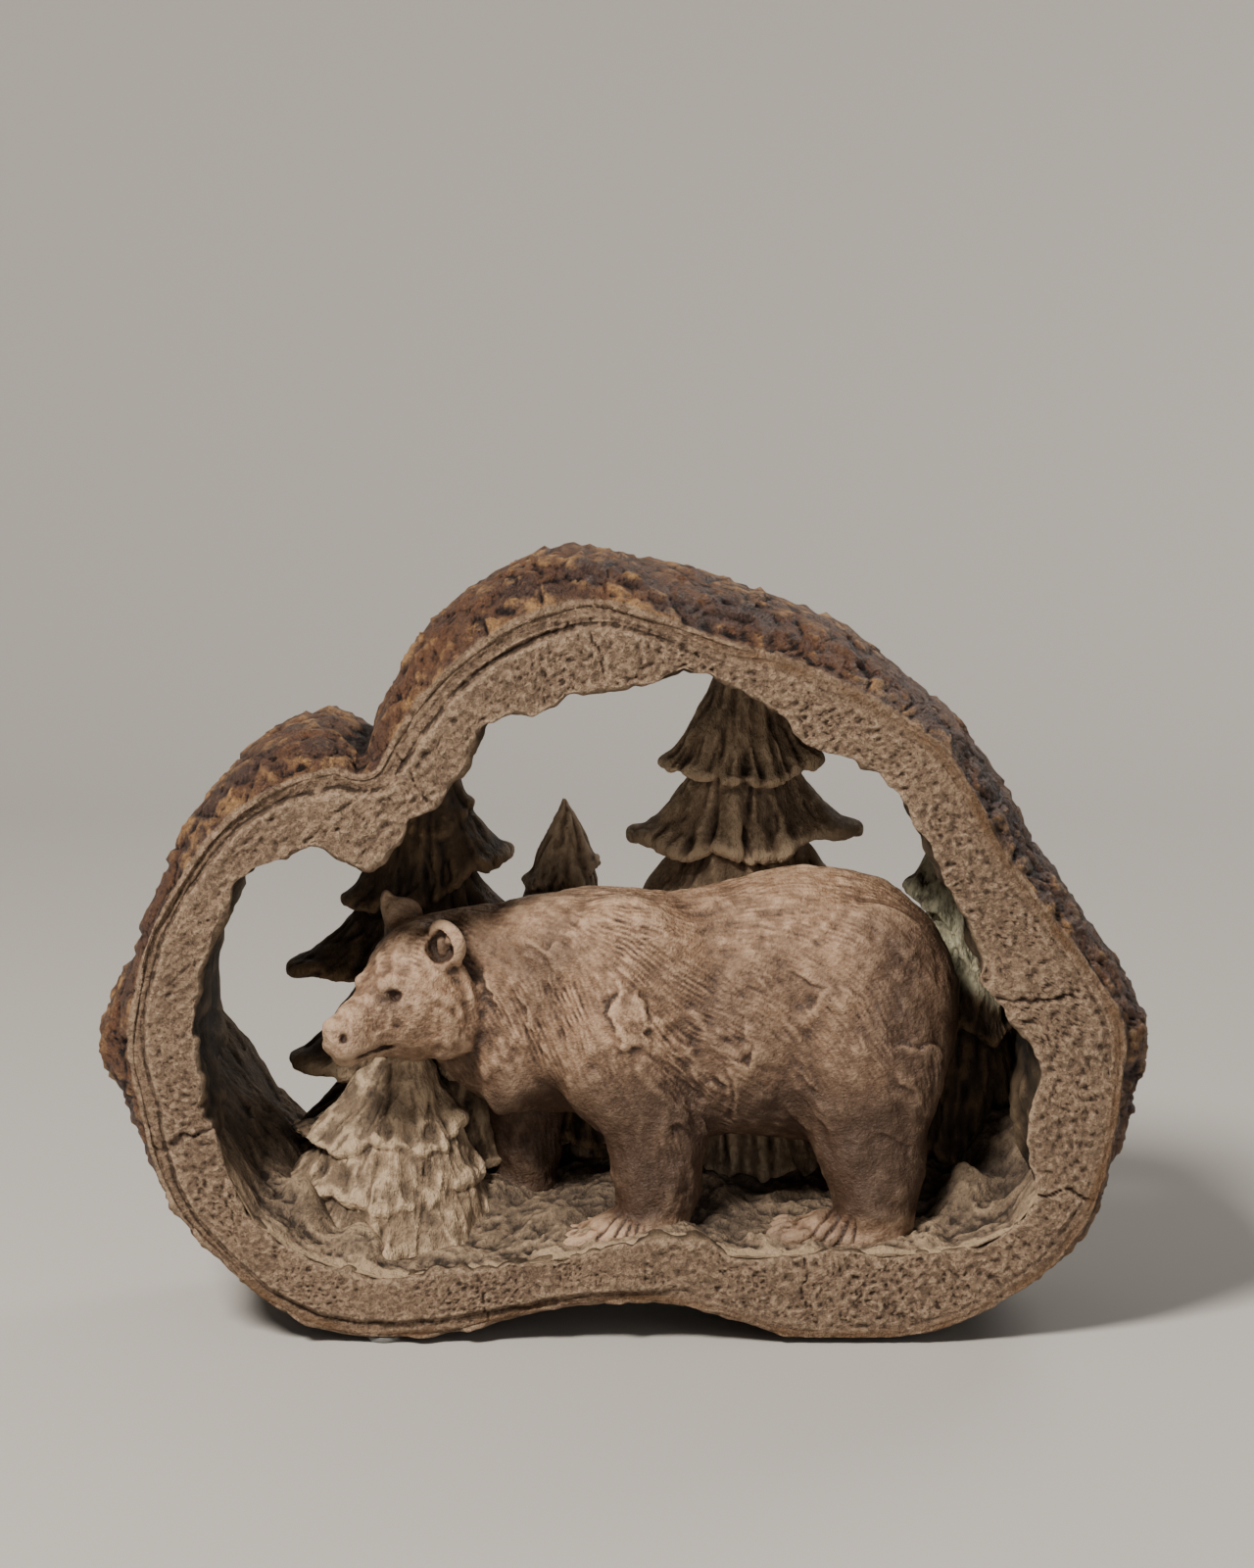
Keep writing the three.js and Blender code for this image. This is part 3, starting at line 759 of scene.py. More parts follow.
def boughTier(stemX, stemY, curve, hang, folding, tier, seed):
    # a skirt of boughs about the stem. Going down from its neck the radius grows
    # as a power of the way, so that the flank is hollow; its lower edge hangs in
    # a few pointed drapes, and folds fan out from the neck towards them.
    top, neck, leftTip, rightTip, depth, drapes, thickness = tier
    angle = np.linspace(0, 2 * math.pi, conifers["sides"], endpoint=False)[None, :]
    c, s = np.cos(angle), np.sin(angle)
    ring = np.stack([c * 2, s * 2 + seed], -1)
    wander = 0.9 * noise(ring, 1.0, 111)
    drape = 1 - np.abs(np.sin(drapes * angle / 2 + wander + seed)) ** 0.8
    ragged = noise(ring * 4, 1.0, 113)
    onTip = np.abs(c) ** 6
    tip = np.where(c > 0, rightTip[0], leftTip[0])
    reach = 1 / np.hypot(c / tip, s / depth) * (1 - (0.09 * drape + 0.04 * ragged + 0.02) * (1 - onTip))
    neckReach = 1 / np.hypot(c / neck, s / min(neck, depth * 0.7))
    tipHeight = leftTip[1] + (rightTip[1] - leftTip[1]) * (1 + c) / 2
    tipHeight = tipHeight + hang * (drape - 0.7 + 0.3 * ragged) * (1 - onTip)
    v = np.linspace(0, 1, 30)[:, None]
    radius = neckReach + (reach - neckReach) * v**curve
    height = top + (tipHeight - top) * (1 - (1 - v) ** 1.12)
    height = height + 2.2 * smoothStep(0.82, 1.0, v) * onTip
    fans = []
    for k in (3.5, 8.0, 15.0):
        fans.append(noise(np.stack([c * k + 0 * v, s * k + seed + 0.35 * v, 0 * c + v * 1.1], -1), 1.0, 115))
    folds = 1.5 * (0.5 - np.abs(fans[0])) + 1.1 * (0.4 - np.abs(fans[1])) + 0.5 * fans[2]
    radius = radius + folding * folds * smoothStep(0.02, 0.4, v) * (1 - 0.55 * onTip)
    # round the edge and back in underneath
    turn = np.linspace(0, math.pi, 9)[1:, None]
    thick = thickness * (0.75 + 0.25 * ragged) * np.ones_like(c)
    edgeRadius = radius[-1] + thick * 0.3 * np.sin(turn)
    edgeHeight = height[-1] - thick * 0.5 * (1 - np.cos(turn))
    inward = np.linspace(1, 0.1, 8)[1:, None]
    underRadius = radius[-1] * inward
    underHeight = edgeHeight[-1] + (1 - inward) * 7.0
    radius = np.concatenate([radius, edgeRadius, underRadius])
    height = np.concatenate([height, edgeHeight, underHeight])
    rings = np.stack([stemX + radius * c, stemY + radius * s, height + 0 * c], -1)
    return skin(rings)


def joinShells(shells):
    # several closed surfaces as one list of points and triangles
    start = 0
    points, triangles = [], []
    for shellPoints, shellTriangles in shells:
        points.append(shellPoints)
        triangles.append(shellTriangles + start)
        start += len(shellPoints)
    return np.concatenate(points), np.concatenate(triangles)


def fuse(name, points, triangles, voxel):
    # overlapping closed surfaces become one skin, voxel millimetres fine
    parts = newObject(name + "_parts", makeMesh(name + "_parts", points, triangles))
    remesh = parts.modifiers.new("fuse", "REMESH")
    remesh.mode = "VOXEL"
    remesh.voxel_size = voxel * mm
    toTriangles = parts.modifiers.new("triangles", "TRIANGULATE")
    toTriangles.quad_method = "SHORTEST_DIAGONAL"
    depsgraph = bpy.context.evaluated_depsgraph_get()
    fused = bpy.data.meshes.new_from_object(parts.evaluated_get(depsgraph))
    bpy.data.objects.remove(parts)
    fused.name = name
    return fused


def nearLowTree(points, top):
    # 1 on the low tree before the bear, 0 on the others
    x, y, z = points.T
    return smoothStep(-28, -38, x) * smoothStep(18, 8, y) * smoothStep(top, 90, z)


def makeConifers(material):
    shells = []
    for tree, (stemX, stemY, curve, hang, folding, tiers) in enumerate(conifers["trees"].values()):
        for level, tier in enumerate(tiers):
            points, triangles = boughTier(stemX, stemY, curve, hang, folding, tier, 3.1 * tree + 1.7 * level)
            mesh = makeMesh("tier", points, triangles)
            if readNormals(mesh)[5, 2] < 0:
                triangles = triangles[:, ::-1]
            bpy.data.meshes.remove(mesh)
            shells.append((points, triangles))
    points, triangles = joinShells(shells)
    points[:, 1] = np.clip(points[:, 1], conifers["front"], conifers["back"])
    mesh = fuse("conifers", points, triangles, conifers["voxel"])
    points = relax(readPoints(mesh), readEdges(mesh), 2)
    writePoints(mesh, points)
    normals = readNormals(mesh)
    onLow = nearLowTree(points, 98)
    crags = 1.8 * noise(points, 13, 117) + 1.1 * (1 - 2 * np.abs(noise(points, (7, 7, 12), 118)))
    rocks = 1 - 2 * np.abs(layeredNoise(points + 2 * noise(points, 5, 119)[:, None], (20, 20, 26), 120, 2))
    height = (0.3 + 0.7 * onLow) * crags + 1.6 * onLow * (rocks - 0.5)
    points, normals = pushOut(mesh, points, normals, height)
    random = np.random.default_rng(5)
    # knife marks that run down the boughs and out towards the tips
    picked = random.choice(len(points), conifers["knifeMarks"], replace=False)
    stems = np.array([(x, y) for x, y, *_ in conifers["trees"].values()])
    offset = points[picked][:, None, :2] - stems
    home = np.argmin(offset[..., 0] ** 2 + offset[..., 1] ** 2, 1)
    fall = np.zeros((len(picked), 3))
    fall[:, :2] = (points[picked, :2] - stems[home]) / 30
    fall[:, 2] = -1
    direction = alongSurface(fall + 0.14 * random.normal(size=fall.shape), normals[picked])
    length = random.uniform(9, 24, len(picked))
    width = random.uniform(0.6, 1.2, len(picked)) * (1 - 0.35 * onLow[picked])
    depth = random.uniform(0.2, 0.85, len(picked)) * (1 - 0.35 * onLow[picked])
    carved = np.minimum(strokes(points, points[picked], direction, length, width, depth), 1.3)
    lumps = layeredNoise(points, (5, 5, 9), 121, 3)
    pushOut(mesh, points, normals, 0.4 * lumps - carved + 0.3)
    mesh = finishMesh("conifers", mesh, conifers["mostTriangles"])
    points = readPoints(mesh)
    x, y, z = points.T
    # pale paint and painted light on the low tree, and painted light on the tall tree and the sapling
    low = nearLowTree(points, 96)
    tall = smoothStep(-4, 8, x) * smoothStep(95, 85, x) * (0.6 + 0.4 * smoothStep(200, 180, z))
    tall = np.maximum(tall, 0.9 * smoothStep(-40, -35, x) * smoothStep(2, -4, x) * smoothStep(16, 20, y))
    # a painted highlight, pale and greenish, along a tier of the right tree
    paleHighlight = smoothStep(88, 92, x) * smoothStep(114, 122, z + 0.6 * (x - 97)) * smoothStep(158, 144, z)
    putNumbers(mesh, dict(pale=np.maximum(low, tall), paleHighlight=paleHighlight))
    addCrests(mesh)
    return addPiece("conifers", mesh, material)


bear = dict(
    voxel=0.8,
    low=(-112.0, -46.0, 20.0),
    high=(118.0, 28.0, 158.0),
    mostTriangles=198000,
    combs=2100,  # each leaves combTeeth long grooves side by side
    combTeeth=5,
    toothGap=1.7,
    ridges=9,  # in each tuft
    softMarks=1300,
    # lofts: the axes in the order along, across, across; then
    # stations of place and from-to on both across axes
    lofts=dict(
        trunk=("xyz", 6.0, [
            (112, -10, -2, 98, 108), (110, -18, 6, 90, 116), (107, -24, 12, 82, 124),
            (101, -29, 17, 70, 134), (92, -32, 20, 60, 142), (78, -33.5, 21.5, 56, 148),
            (62, -34, 22, 58, 150), (46, -34, 22, 60, 148), (30, -33, 21, 61, 144),
            (14, -32, 20, 63, 142), (-3, -32, 20, 66, 143.5), (-18, -31, 19, 68, 143),
            (-32, -27, 16, 69, 140.5), (-44, -21, 10, 72, 138), (-54, -18, 4, 82, 136),
            (-63, -16, 0, 90, 133), (-70, -14, -6, 98, 128),
        ]),
        nearForeleg=("zxy", 8.0, [
            (124, -8, 16, -20, -8), (112, -18, 24, -30, -5), (98, -20, 28, -34, -4),
            (86, -18, 30, -36, -6), (75, -12, 30, -37, -9), (64, -5.5, 28, -37.5, -12),
            (52, -2.5, 26, -38, -15), (42, -1, 24.5, -38, -16), (33, -2, 21, -38.5, -17),
            (25, -2, 18, -38, -18),
        ]),
        nearHindleg=("zxy", 8.0, [
            (126, 72, 96, -22, -8), (114, 60, 104, -32, -5), (100, 55, 107, -36, -4),
            (88, 54, 107, -37, -6), (76, 56, 103, -37.5, -9), (64, 62, 100, -38, -12),
            (54, 66, 99, -38.5, -14), (44, 69, 97, -38.5, -15), (34, 71, 95.5, -38.5, -16),
            (25, 73, 93, -38, -17),
        ]),
        farForeleg=("zxy", 5.0, [
            (112, -44, -10, -8, 10), (92, -47, -10, -3, 16), (74, -46, -15, 0, 18), (58, -43, -20, 2, 18),
            (46, -42, -21, 3, 18), (34, -43, -24, 3, 18),
        ]),
        farHindleg=("zxy", 5.0, [
            (112, 62, 98, -6, 12), (92, 60, 98, -2, 17), (74, 62, 94, 1, 18), (58, 66, 92, 2, 18),
            (46, 67, 90, 3, 18), (34, 68, 88, 4, 18),
        ]),
    ),
    # muscles and paws: centre, half sizes, blend
    masses=[
        ((2, -22, 118), (22, 11, 24), 9), ((0, -26, 92), (21, 11, 24), 8),
        ((82, -23, 112), (24, 12, 28), 9), ((84, -27, 88), (20, 11, 22), 8),
        ((40, -18, 92), (26, 16, 28), 8), ((-26, -14, 108), (20, 15, 28), 9),
        ((-46, -11, 104), (16, 11, 27), 8), ((-35, -17, 84), (9, 9, 12), 7),
        ((-39, -19, 76), (3.4, 3, 6), 4),
    ],
    paws=[
        ((4, -28, 31), (15, 10.5, 7.5), 3), ((-3, -28.5, 31.5), (10, 10, 7), 3),
        ((80, -27, 31), (15, 11, 7.5), 3), ((66, -27.5, 31.5), (10, 10, 7.5), 3),
        ((-34, 11, 38), (15, 8, 7), 3), ((74, 11, 38), (15, 8, 7), 3), ((-48, 11, 36), (8, 7, 4), 3),
        ((60, 11, 37), (8, 7, 4), 3),
    ],
    # toes: x of the toe tip, z there, y of each toe, length
    toes=[
        (-19.5, 28.8, (-36.5, -31.4, -26.2, -21.2), 16),
        (47.0, 30.0, (-36.5, -31.4, -26.2, -21.2), 17),
    ],
    # torn edges on the near side: height, then x, z along the edge;
    # the clay rises on the right-hand side of the way
    tears=[
        (1.4, ((-21, 132), (-22, 124), (-21, 117))), (2.0, ((0, 119), (-4, 108), (-1, 100), (8, 95))),
        (1.5, ((10, 95), (8, 108), (7, 117))), (2.0, ((38, 107), (42, 103), (39, 92), (32, 92))),
        (2.2, ((19, 92), (24, 88), (31, 85), (34, 74))), (1.7, ((12, 68), (20, 69.5), (30, 64))),
        (1.6, ((21, 57), (25, 49), (20, 43))), (1.2, ((87, 127), (91, 124), (96, 128))),
        (1.2, ((88, 120), (91, 111), (90, 105))),
        (2.0, ((102, 85), (105, 92), (100, 96), (93, 97), (88, 93))),
        (1.5, ((87, 92), (89, 85), (97, 82))), (1.6, ((75, 65), (83, 68), (90, 67), (98, 51))),
        (1.1, ((55, 121), (60, 119), (66, 114), (60, 108), (57, 110))),
        (1.6, ((33, 90), (35, 78), (41, 68))), (1.5, ((51, 84), (55, 72), (64, 64))),
        (1.5, ((-36, 111), (-28, 101), (-23, 90))), (1.3, ((-47, 122), (-42, 114), (-41, 104))),
    ],
    # places in the head's own frame painted dark, as dark paint and painted shade in the eyes, nostrils, ear
    # and mouth, and how far it spreads
    darkSpots=[
        ((15.6, 8.8, 5.2), 3.6), ((15.6, -8.8, 5.2), 3.6),  # eyes
        ((33, 5.2, -4), 1.9), ((33, -5.2, -4), 1.9),  # nostrils
        ((-3.5, 15.5, 17.0), 4.6),  # near ear
        ((24, 7.6, -11.6), 2.2), ((29, 6.4, -11.4), 2.0),  # corner and line of the mouth
    ],
    ankles=[(7, 46), (77, 47)],  # x, z where the toes' grooves fan out from
    headCentre=(-68.5, -16.0, 110.0),
    noseWay=(-0.74, -0.645, -0.188),
    # along the head from nape to nose; from-to across it; below and above its centre line
    headStations=[
        (-22, -9, 9, -9, 15), (-17, -13, 13, -15, 20), (-11, -16.5, 16.5, -20, 22.5),
        (-7, -18.5, 18.5, -22, 22.8), (-1, -19, 19, -22.5, 21.8), (5, -17.5, 17.5, -22, 18.2),
        (11, -14.2, 14.2, -19, 13.2), (16, -11.2, 11.2, -16.8, 9.2), (22, -8.6, 8.6, -15.6, 5.9),
        (28, -7.2, 7.2, -14.6, 4.0), (32, -6.0, 6.0, -13.4, 2.6), (35, -4.0, 4.0, -10.5, 1.2),
        (36.2, -2.2, 2.2, -7.5, -0.6),
    ],
    # forms on both sides of the head, or once where the side is 0:
    # added or taken away, blend, centre, half size
    headForms=[
        (True, 1.2, (33.0, 0, -0.7), (2.8, 4.0, 2.8)),  # nose
        (True, 2.5, (28.0, 0, -13.0), (5.0, 4.2, 2.2)),  # chin
        (True, 5, (-3, 12.0, -8), (8.5, 8.6, 13.0)),  # cheek
        (True, 3.0, (-8.8, 17.4, 2.0), (1.9, 2.8, 7.5)),  # ruff, down the edge of the cheek
        (True, 3.0, (-8.4, 18.2, -6.0), (1.9, 2.9, 7.0)),
        (True, 3.0, (-5.6, 16.8, -13.0), (3.0, 2.8, 5.5)),
        (True, 3.0, (-1.0, 13.0, -17.0), (4.0, 3.0, 3.4)),
        (True, 3, (11.5, 6.6, 8.3), (5.5, 2.5, 2.0)),  # brow
        (True, 2.5, (26.5, 4.9, -7.8), (8.0, 2.8, 4.2)),  # upper lip
        (False, 0.9, (15.6, 10.0, 5.4), (4.2, 2.9, 2.4)),  # eye socket
        (True, 0.3, (15.2, 7.2, 5.2), (1.8, 1.4, 1.35)),  # eye
        (True, 0.5, (14.8, 7.2, 7.3), (3.0, 1.3, 0.6)),  # upper lid
        (True, 0.5, (15.4, 7.8, 3.6), (2.8, 1.2, 0.6)),  # lower lid
        (False, 0.8, (33.0, 4.9, -3.8), (1.2, 1.1, 1.6)),  # nostril
        (False, 0.5, (25.0, 7.0, -11.6), (11.5, 2.3, 0.75)),  # mouth
        (False, 0.6, (33.6, 0, -5.2), (1.6, 0.6, 2.4)),  # groove under the nose
    ],
    # the nearer ear is a round cup, the farther one a tall point
    ears=[
        (True, 2.0, (-6.4, 14.8, 17.0), (4.2, 8.6, 8.2)),
        (False, 0.8, (-2.7, 15.5, 17.3), (4.4, 5.7, 5.5)),
        (True, 1.2, (-6.0, 13.0, 15.8), (2.0, 2.0, 3.4)),
        (True, 1.0, (-6.2, 17.0, 19.0), (1.8, 1.6, 2.2)),
        (True, 5.0, (-10.5, -12.6, 20.0), (7.0, 4.6, 7.4)),
        (True, 3.0, (-7.6, -15.6, 26.0), (2.6, 2.3, 5.2)),
    ],
    # how the fur lies, on the side: x, z, and the direction it runs in x and z
    furWays=[
        (-62, 126, 0.9, -0.45), (-66, 106, 0.8, -0.6), (-82, 104, 0.9, 0.1), (-50, 126, 0.8, -0.6),
        (-44, 104, 0.55, -0.85), (-38, 84, 0.3, -0.95), (-26, 134, 0.8, -0.55), (-18, 116, 0.35, -0.95),
        (-10, 96, 0.3, -0.95), (6, 138, 0.95, -0.2), (8, 120, 0.7, -0.7), (14, 98, 0.75, -0.65),
        (6, 76, 0.5, -0.85), (10, 56, 0.15, -1.0), (4, 36, -0.5, -0.6), (32, 138, 1.0, 0.12),
        (34, 118, 0.9, -0.4), (36, 98, 0.85, -0.5), (42, 76, 0.7, -0.5), (58, 144, 1.0, -0.05),
        (60, 124, 0.85, -0.5), (60, 100, 0.6, -0.8), (80, 140, 0.9, -0.5), (86, 122, 0.7, -0.75),
        (82, 98, 0.45, -0.9), (100, 126, 0.45, -0.9), (104, 104, 0.1, -1.0), (84, 74, 0.35, -0.95),
        (84, 52, 0.1, -1.0), (78, 34, -0.5, -0.6),
    ],
    # raised locks of fur: x, z, length, width, height
    furLocks=[
        (-28, 126, 15, 7, 1.5), (-22, 120, 12, 6, 1.3), (-33, 117, 12, 6, 1.1), (-2, 118, 15, 8, 1.6),
        (3, 108, 16, 8, 1.8), (10, 102, 14, 7, 1.6), (0, 98, 12, 6, 1.3), (17, 96, 16, 7, 1.7),
        (26, 104, 18, 8, 1.6), (34, 98, 17, 8, 1.8), (40, 92, 15, 8, 1.8), (24, 86, 14, 7, 1.6),
        (30, 80, 12, 6, 1.5), (22, 74, 11, 6, 1.6), (27, 68, 10, 5, 1.4), (56, 96, 16, 8, 1.7),
        (60, 84, 15, 7, 1.6), (66, 74, 13, 6, 1.4), (70, 112, 16, 8, 1.3), (92, 128, 13, 6, 1.2),
        (98, 118, 12, 6, 1.2), (100, 86, 12, 7, 1.6), (97, 78, 12, 6, 1.6), (95, 62, 10, 6, 1.4),
        (92, 48, 9, 5, 1.3), (23, 54, 9, 5, 1.3), (18, 44, 8, 5, 1.1), (-40, 92, 12, 6, 1.3),
        (-36, 100, 13, 6, 1.2), (-47, 112, 14, 6, 1.2), (-44, 84, 10, 5, 1.3), (-56, 96, 11, 5, 1.2),
        (-57, 108, 12, 5, 1.1), (46, 78, 12, 7, 1.4), (52, 70, 10, 6, 1.2), (76, 62, 12, 6, 1.2),
        (84, 40, 9, 5, 1.0), (48, 118, 16, 7, 0.9), (78, 96, 14, 7, 1.0), (14, 130, 14, 6, 0.8),
    ],
)


def smoothTable(places, values, x):
    # a cubic through the values, whose slope at each place is the table's own gradient there
    places, values = np.asarray(places, float), np.asarray(values, float)
    if places[0] > places[-1]:
        places, values = places[::-1], values[::-1]
    slopes = np.gradient(values, places)
    i = np.clip(np.searchsorted(places, x) - 1, 0, len(places) - 2)
    h = places[i + 1] - places[i]
    t = np.clip((x - places[i]) / h, 0, 1)
    start = (1 + 2 * t) * (1 - t) ** 2 * values[i] + t * (1 - t) ** 2 * h * slopes[i]
    return start + t * t * (3 - 2 * t) * values[i + 1] + t * t * (t - 1) * h * slopes[i + 1]


def smoothMin(a, b, blend):
    # the smaller of two fields, rounded where they are closer than blend
    closeness = np.maximum(blend - np.abs(a - b), 0) / blend
    return np.minimum(a, b) - closeness * closeness * blend / 4


def loftField(along, first, second, stations):
    # below 0 inside an ellipse that fits the from-to ranges read at
    # each place along, and above 0 past the ends
    table = np.array(stations, float)
    if table[0, 0] > table[-1, 0]:
        table = table[::-1]
    fine = np.linspace(table[0, 0], table[-1, 0], 400)
    ranges = [np.interp(along, fine, smoothTable(table[:, 0], table[:, k], fine)) for k in range(1, 5)]
    halfA = np.maximum((ranges[1] - ranges[0]) / 2, 0.5)
    halfB = np.maximum((ranges[3] - ranges[2]) / 2, 0.5)
    a = (first - (ranges[0] + ranges[1]) / 2) / halfA
    b = (second - (ranges[2] + ranges[3]) / 2) / halfB
    size = np.sqrt(a * a + b * b)
    slope = np.sqrt((a / halfA) ** 2 + (b / halfB) ** 2) / np.maximum(size, 1e-3)
    inside = (size - 1) / np.maximum(slope, 1 / np.maximum(halfA, halfB))
    return np.maximum(inside, np.maximum(fine[0] - along, along - fine[-1]))


def ballField(place, centre, half):
    # signed distance to an ellipsoid, near enough: k0 (k0 - 1) / k1 with k0 = |p / r| and k1 = |p / r^2|
    scaled = [(place[k] - centre[k]) / half[k] for k in range(3)]
    k0 = np.sqrt(sum(q * q for q in scaled))
    k1 = np.sqrt(sum((q / r) ** 2 for q, r in zip(scaled, half)))
    return k0 * (k0 - 1) / np.maximum(k1, 1e-6)


class Clay:
    # a block of voxels holding a field that is below 0 inside the form; forms are added and taken away
    def __init__(self, low, high, voxel):
        self.voxel = voxel
        self.low = np.array(low, float)
        self.axes = [np.arange(low[k], high[k], voxel) for k in range(3)]
        self.field = np.full([len(axis) for axis in self.axes], 30.0, np.float32)

    def block(self, low, high):
        # the part of the block between two corners: its slices, and x, y and z there
        cut = [slice(*np.searchsorted(axis, (low[k], high[k]))) for k, axis in enumerate(self.axes)]
        x, y, z = (axis[part] for axis, part in zip(self.axes, cut))
        place = (x[:, None, None], y[None, :, None], z[None, None, :])
        return tuple(cut), [p.astype(np.float32) for p in place]

    def add(self, low, high, form, blend):
        cut, place = self.block(low, high)
        self.field[cut] = smoothMin(self.field[cut], form(place), blend)

    def takeAway(self, low, high, form, blend):
        cut, place = self.block(low, high)
        self.field[cut] = -smoothMin(-self.field[cut], form(place), blend)

    def surface(self):
        # surface nets: a cell that the zero surface crosses gets the mean of the crossings on its edges,
        # and each crossed grid edge joins its four cells, facing away from the inside
        field = self.field
        inside = field < 0
        size = [n - 1 for n in field.shape]
        count = np.zeros(size, np.int8)
        for i, j, k in itertools.product((0, 1), repeat=3):
            count += inside[i : i + size[0], j : j + size[1], k : k + size[2]]
        cells = np.argwhere((count > 0) & (count < 8))
        total = np.zeros((len(cells), 3))
        crossings = np.zeros(len(cells))
        for axis in range(3):
            for sides in itertools.product((0, 1), repeat=2):
                start = cells.copy()
                start[:, (axis + 1) % 3] += sides[0]
                start[:, (axis + 2) % 3] += sides[1]
                end = start.copy()
                end[:, axis] += 1
                a, b = field[tuple(start.T)], field[tuple(end.T)]
                crossed = (a < 0) != (b < 0)
                place = start.astype(float)
                place[crossed, axis] += a[crossed] / (a[crossed] - b[crossed])
                total[crossed] += place[crossed]
                crossings += crossed
        points = self.low + total / crossings[:, None] * self.voxel
        number = np.full(size, -1, np.int64)
        number[tuple(cells.T)] = np.arange(len(cells))
        quads = []
        for axis in range(3):
            u, v = (axis + 1) % 3, (axis + 2) % 3
            before = inside.take(range(0, inside.shape[axis] - 1), axis)
            after = inside.take(range(1, inside.shape[axis]), axis)
            start = np.argwhere(before != after)
            below = (start[:, u] < size[u]) & (start[:, v] < size[v])
            start = start[(start[:, u] > 0) & (start[:, v] > 0) & below]
            corners = []
            for back in ((1, 1), (0, 1), (0, 0), (1, 0)):
                cell = start.copy()
                cell[:, u] -= back[0]
                cell[:, v] -= back[1]
                corners.append(number[tuple(cell.T)])
            quad = np.stack(corners, -1)
            outward = before[tuple(start.T)]
            quads.append(np.where(outward[:, None], quad, quad[:, ::-1]))
        quads = np.concatenate(quads)
        triangles = np.concatenate([quads[:, [0, 1, 2]], quads[:, [0, 2, 3]]])
        return points, triangles


def headFrame():
    # the head's own directions: to the nose, to its left side, which is the nearer one, and up
    nose = np.array(bear["noseWay"])
    nose = nose / np.linalg.norm(nose)
    side = np.array([-nose[1], nose[0], 0])
    side = side / np.linalg.norm(side)
    return nose, side, np.cross(nose, side)


def inHead(place):
    # x, y and z turned into forward, sideways and up from the head's centre
    offset = [p - c for p, c in zip(place, bear["headCentre"])]
    return [sum(o * float(axis[k]) for k, o in enumerate(offset)) for axis in headFrame()]


def modelHead(clay):
    centre = np.array(bear["headCentre"])
    low, high = centre - 48, centre + 48

    def form(shape):
        return lambda place: shape(inHead(place))

    def lump(centre, half):
        return form(lambda place: ballField(place, centre, half))

    clay.add(low, high, form(lambda p: loftField(p[0], p[1], p[2], bear["headStations"])), 3.5)
    for add, blend, centre, half in bear["headForms"]:
        for side in (1, -1):
            if side < 0 and centre[1] == 0:
                continue
            place = (centre[0], centre[1] * side, centre[2])
            (clay.add if add else clay.takeAway)(low, high, lump(place, half), blend)
    for add, blend, centre, half in bear["ears"]:
        (clay.add if add else clay.takeAway)(low, high, lump(centre, half), blend)


def modelBody(clay):
    letters = "xyz"
    for order, blend, stations in bear["lofts"].values():
        axes = [letters.index(letter) for letter in order]
        table = np.array(stations, float)
        low, high = np.empty(3), np.empty(3)
        low[axes[0]], high[axes[0]] = table[:, 0].min(), table[:, 0].max()
        low[axes[1]], high[axes[1]] = table[:, 1].min(), table[:, 2].max()
        low[axes[2]], high[axes[2]] = table[:, 3].min(), table[:, 4].max()

        def form(place):
            return loftField(place[axes[0]], place[axes[1]], place[axes[2]], stations)

        clay.add(low - 9, high + 9, form, blend)
    for centre, half, blend in bear["masses"] + bear["paws"]:
        low, high = np.array(centre) - half, np.array(centre) + half
        clay.add(low - blend, high + blend, lambda place: ballField(place, centre, half), blend)
    for tipX, tipZ, sides, length in bear["toes"]:
        for toeY in sides:
            centre = (tipX + length * 0.5, toeY, tipZ + 1.5)
            half = (length * 0.5, 2.75, 5.2)
            low, high = np.array(centre) - 11, np.array(centre) + 11
            clay.add(low, high, lambda place: ballField(place, centre, half), 0.6)


def furDirections(points, normals):
    # the mean of the listed directions, each weighted by one over
    # its distance to the fourth power, laid on the skin
    ways = np.array(bear["furWays"])
    away = (points[:, None, 0] - ways[:, 0]) ** 2 + (points[:, None, 2] - ways[:, 1]) ** 2
    weight = 1 / (away + 30) ** 2
    way = weight @ ways[:, 2:4] / weight.sum(1, keepdims=True)
    direction = np.stack([way[:, 0], np.zeros(len(points)), way[:, 1]], -1)
    return alongSurface(direction, normals)


def tuftStrokes(points, normals, random):
    # each tuft is a fan of ridges side by side, lying along the fur, of uneven length, height and direction
    table = np.array(bear["furLocks"], float)
    candidates = np.flatnonzero(points[:, 1] < -6)
    x, z = points[candidates][:, 0], points[candidates][:, 2]
    away = (x[None] - table[:, 0:1]) ** 2 + (z[None] - table[:, 1:2]) ** 2
    ridges = bear["ridges"]
    home = np.repeat(candidates[np.argmin(away, 1)], ridges)
    long, wide, high = table[:, 2:5].repeat(ridges, 0).T
    way = furDirections(points[home], normals[home])
    across = np.cross(normals[home], way)
    place = np.tile(np.linspace(-1, 1, ridges), len(table)) + random.uniform(-0.12, 0.12, len(home))
    way = way + 0.28 * place[:, None] * across + 0.2 * random.normal(size=way.shape)
    way = alongSurface(way, normals[home])
    starts = points[home] + across * (0.75 * wide * place)[:, None]
    starts = starts + way * (long * random.uniform(-0.25, 0.25, len(home)))[:, None]
    height = -0.6 * high * random.uniform(0.3, 1.1, len(home)) * (1.1 - place**2)
    length = long * random.uniform(0.5, 1.1, len(home))
    return starts, way, length, random.uniform(0.8, 1.6, len(home)), height


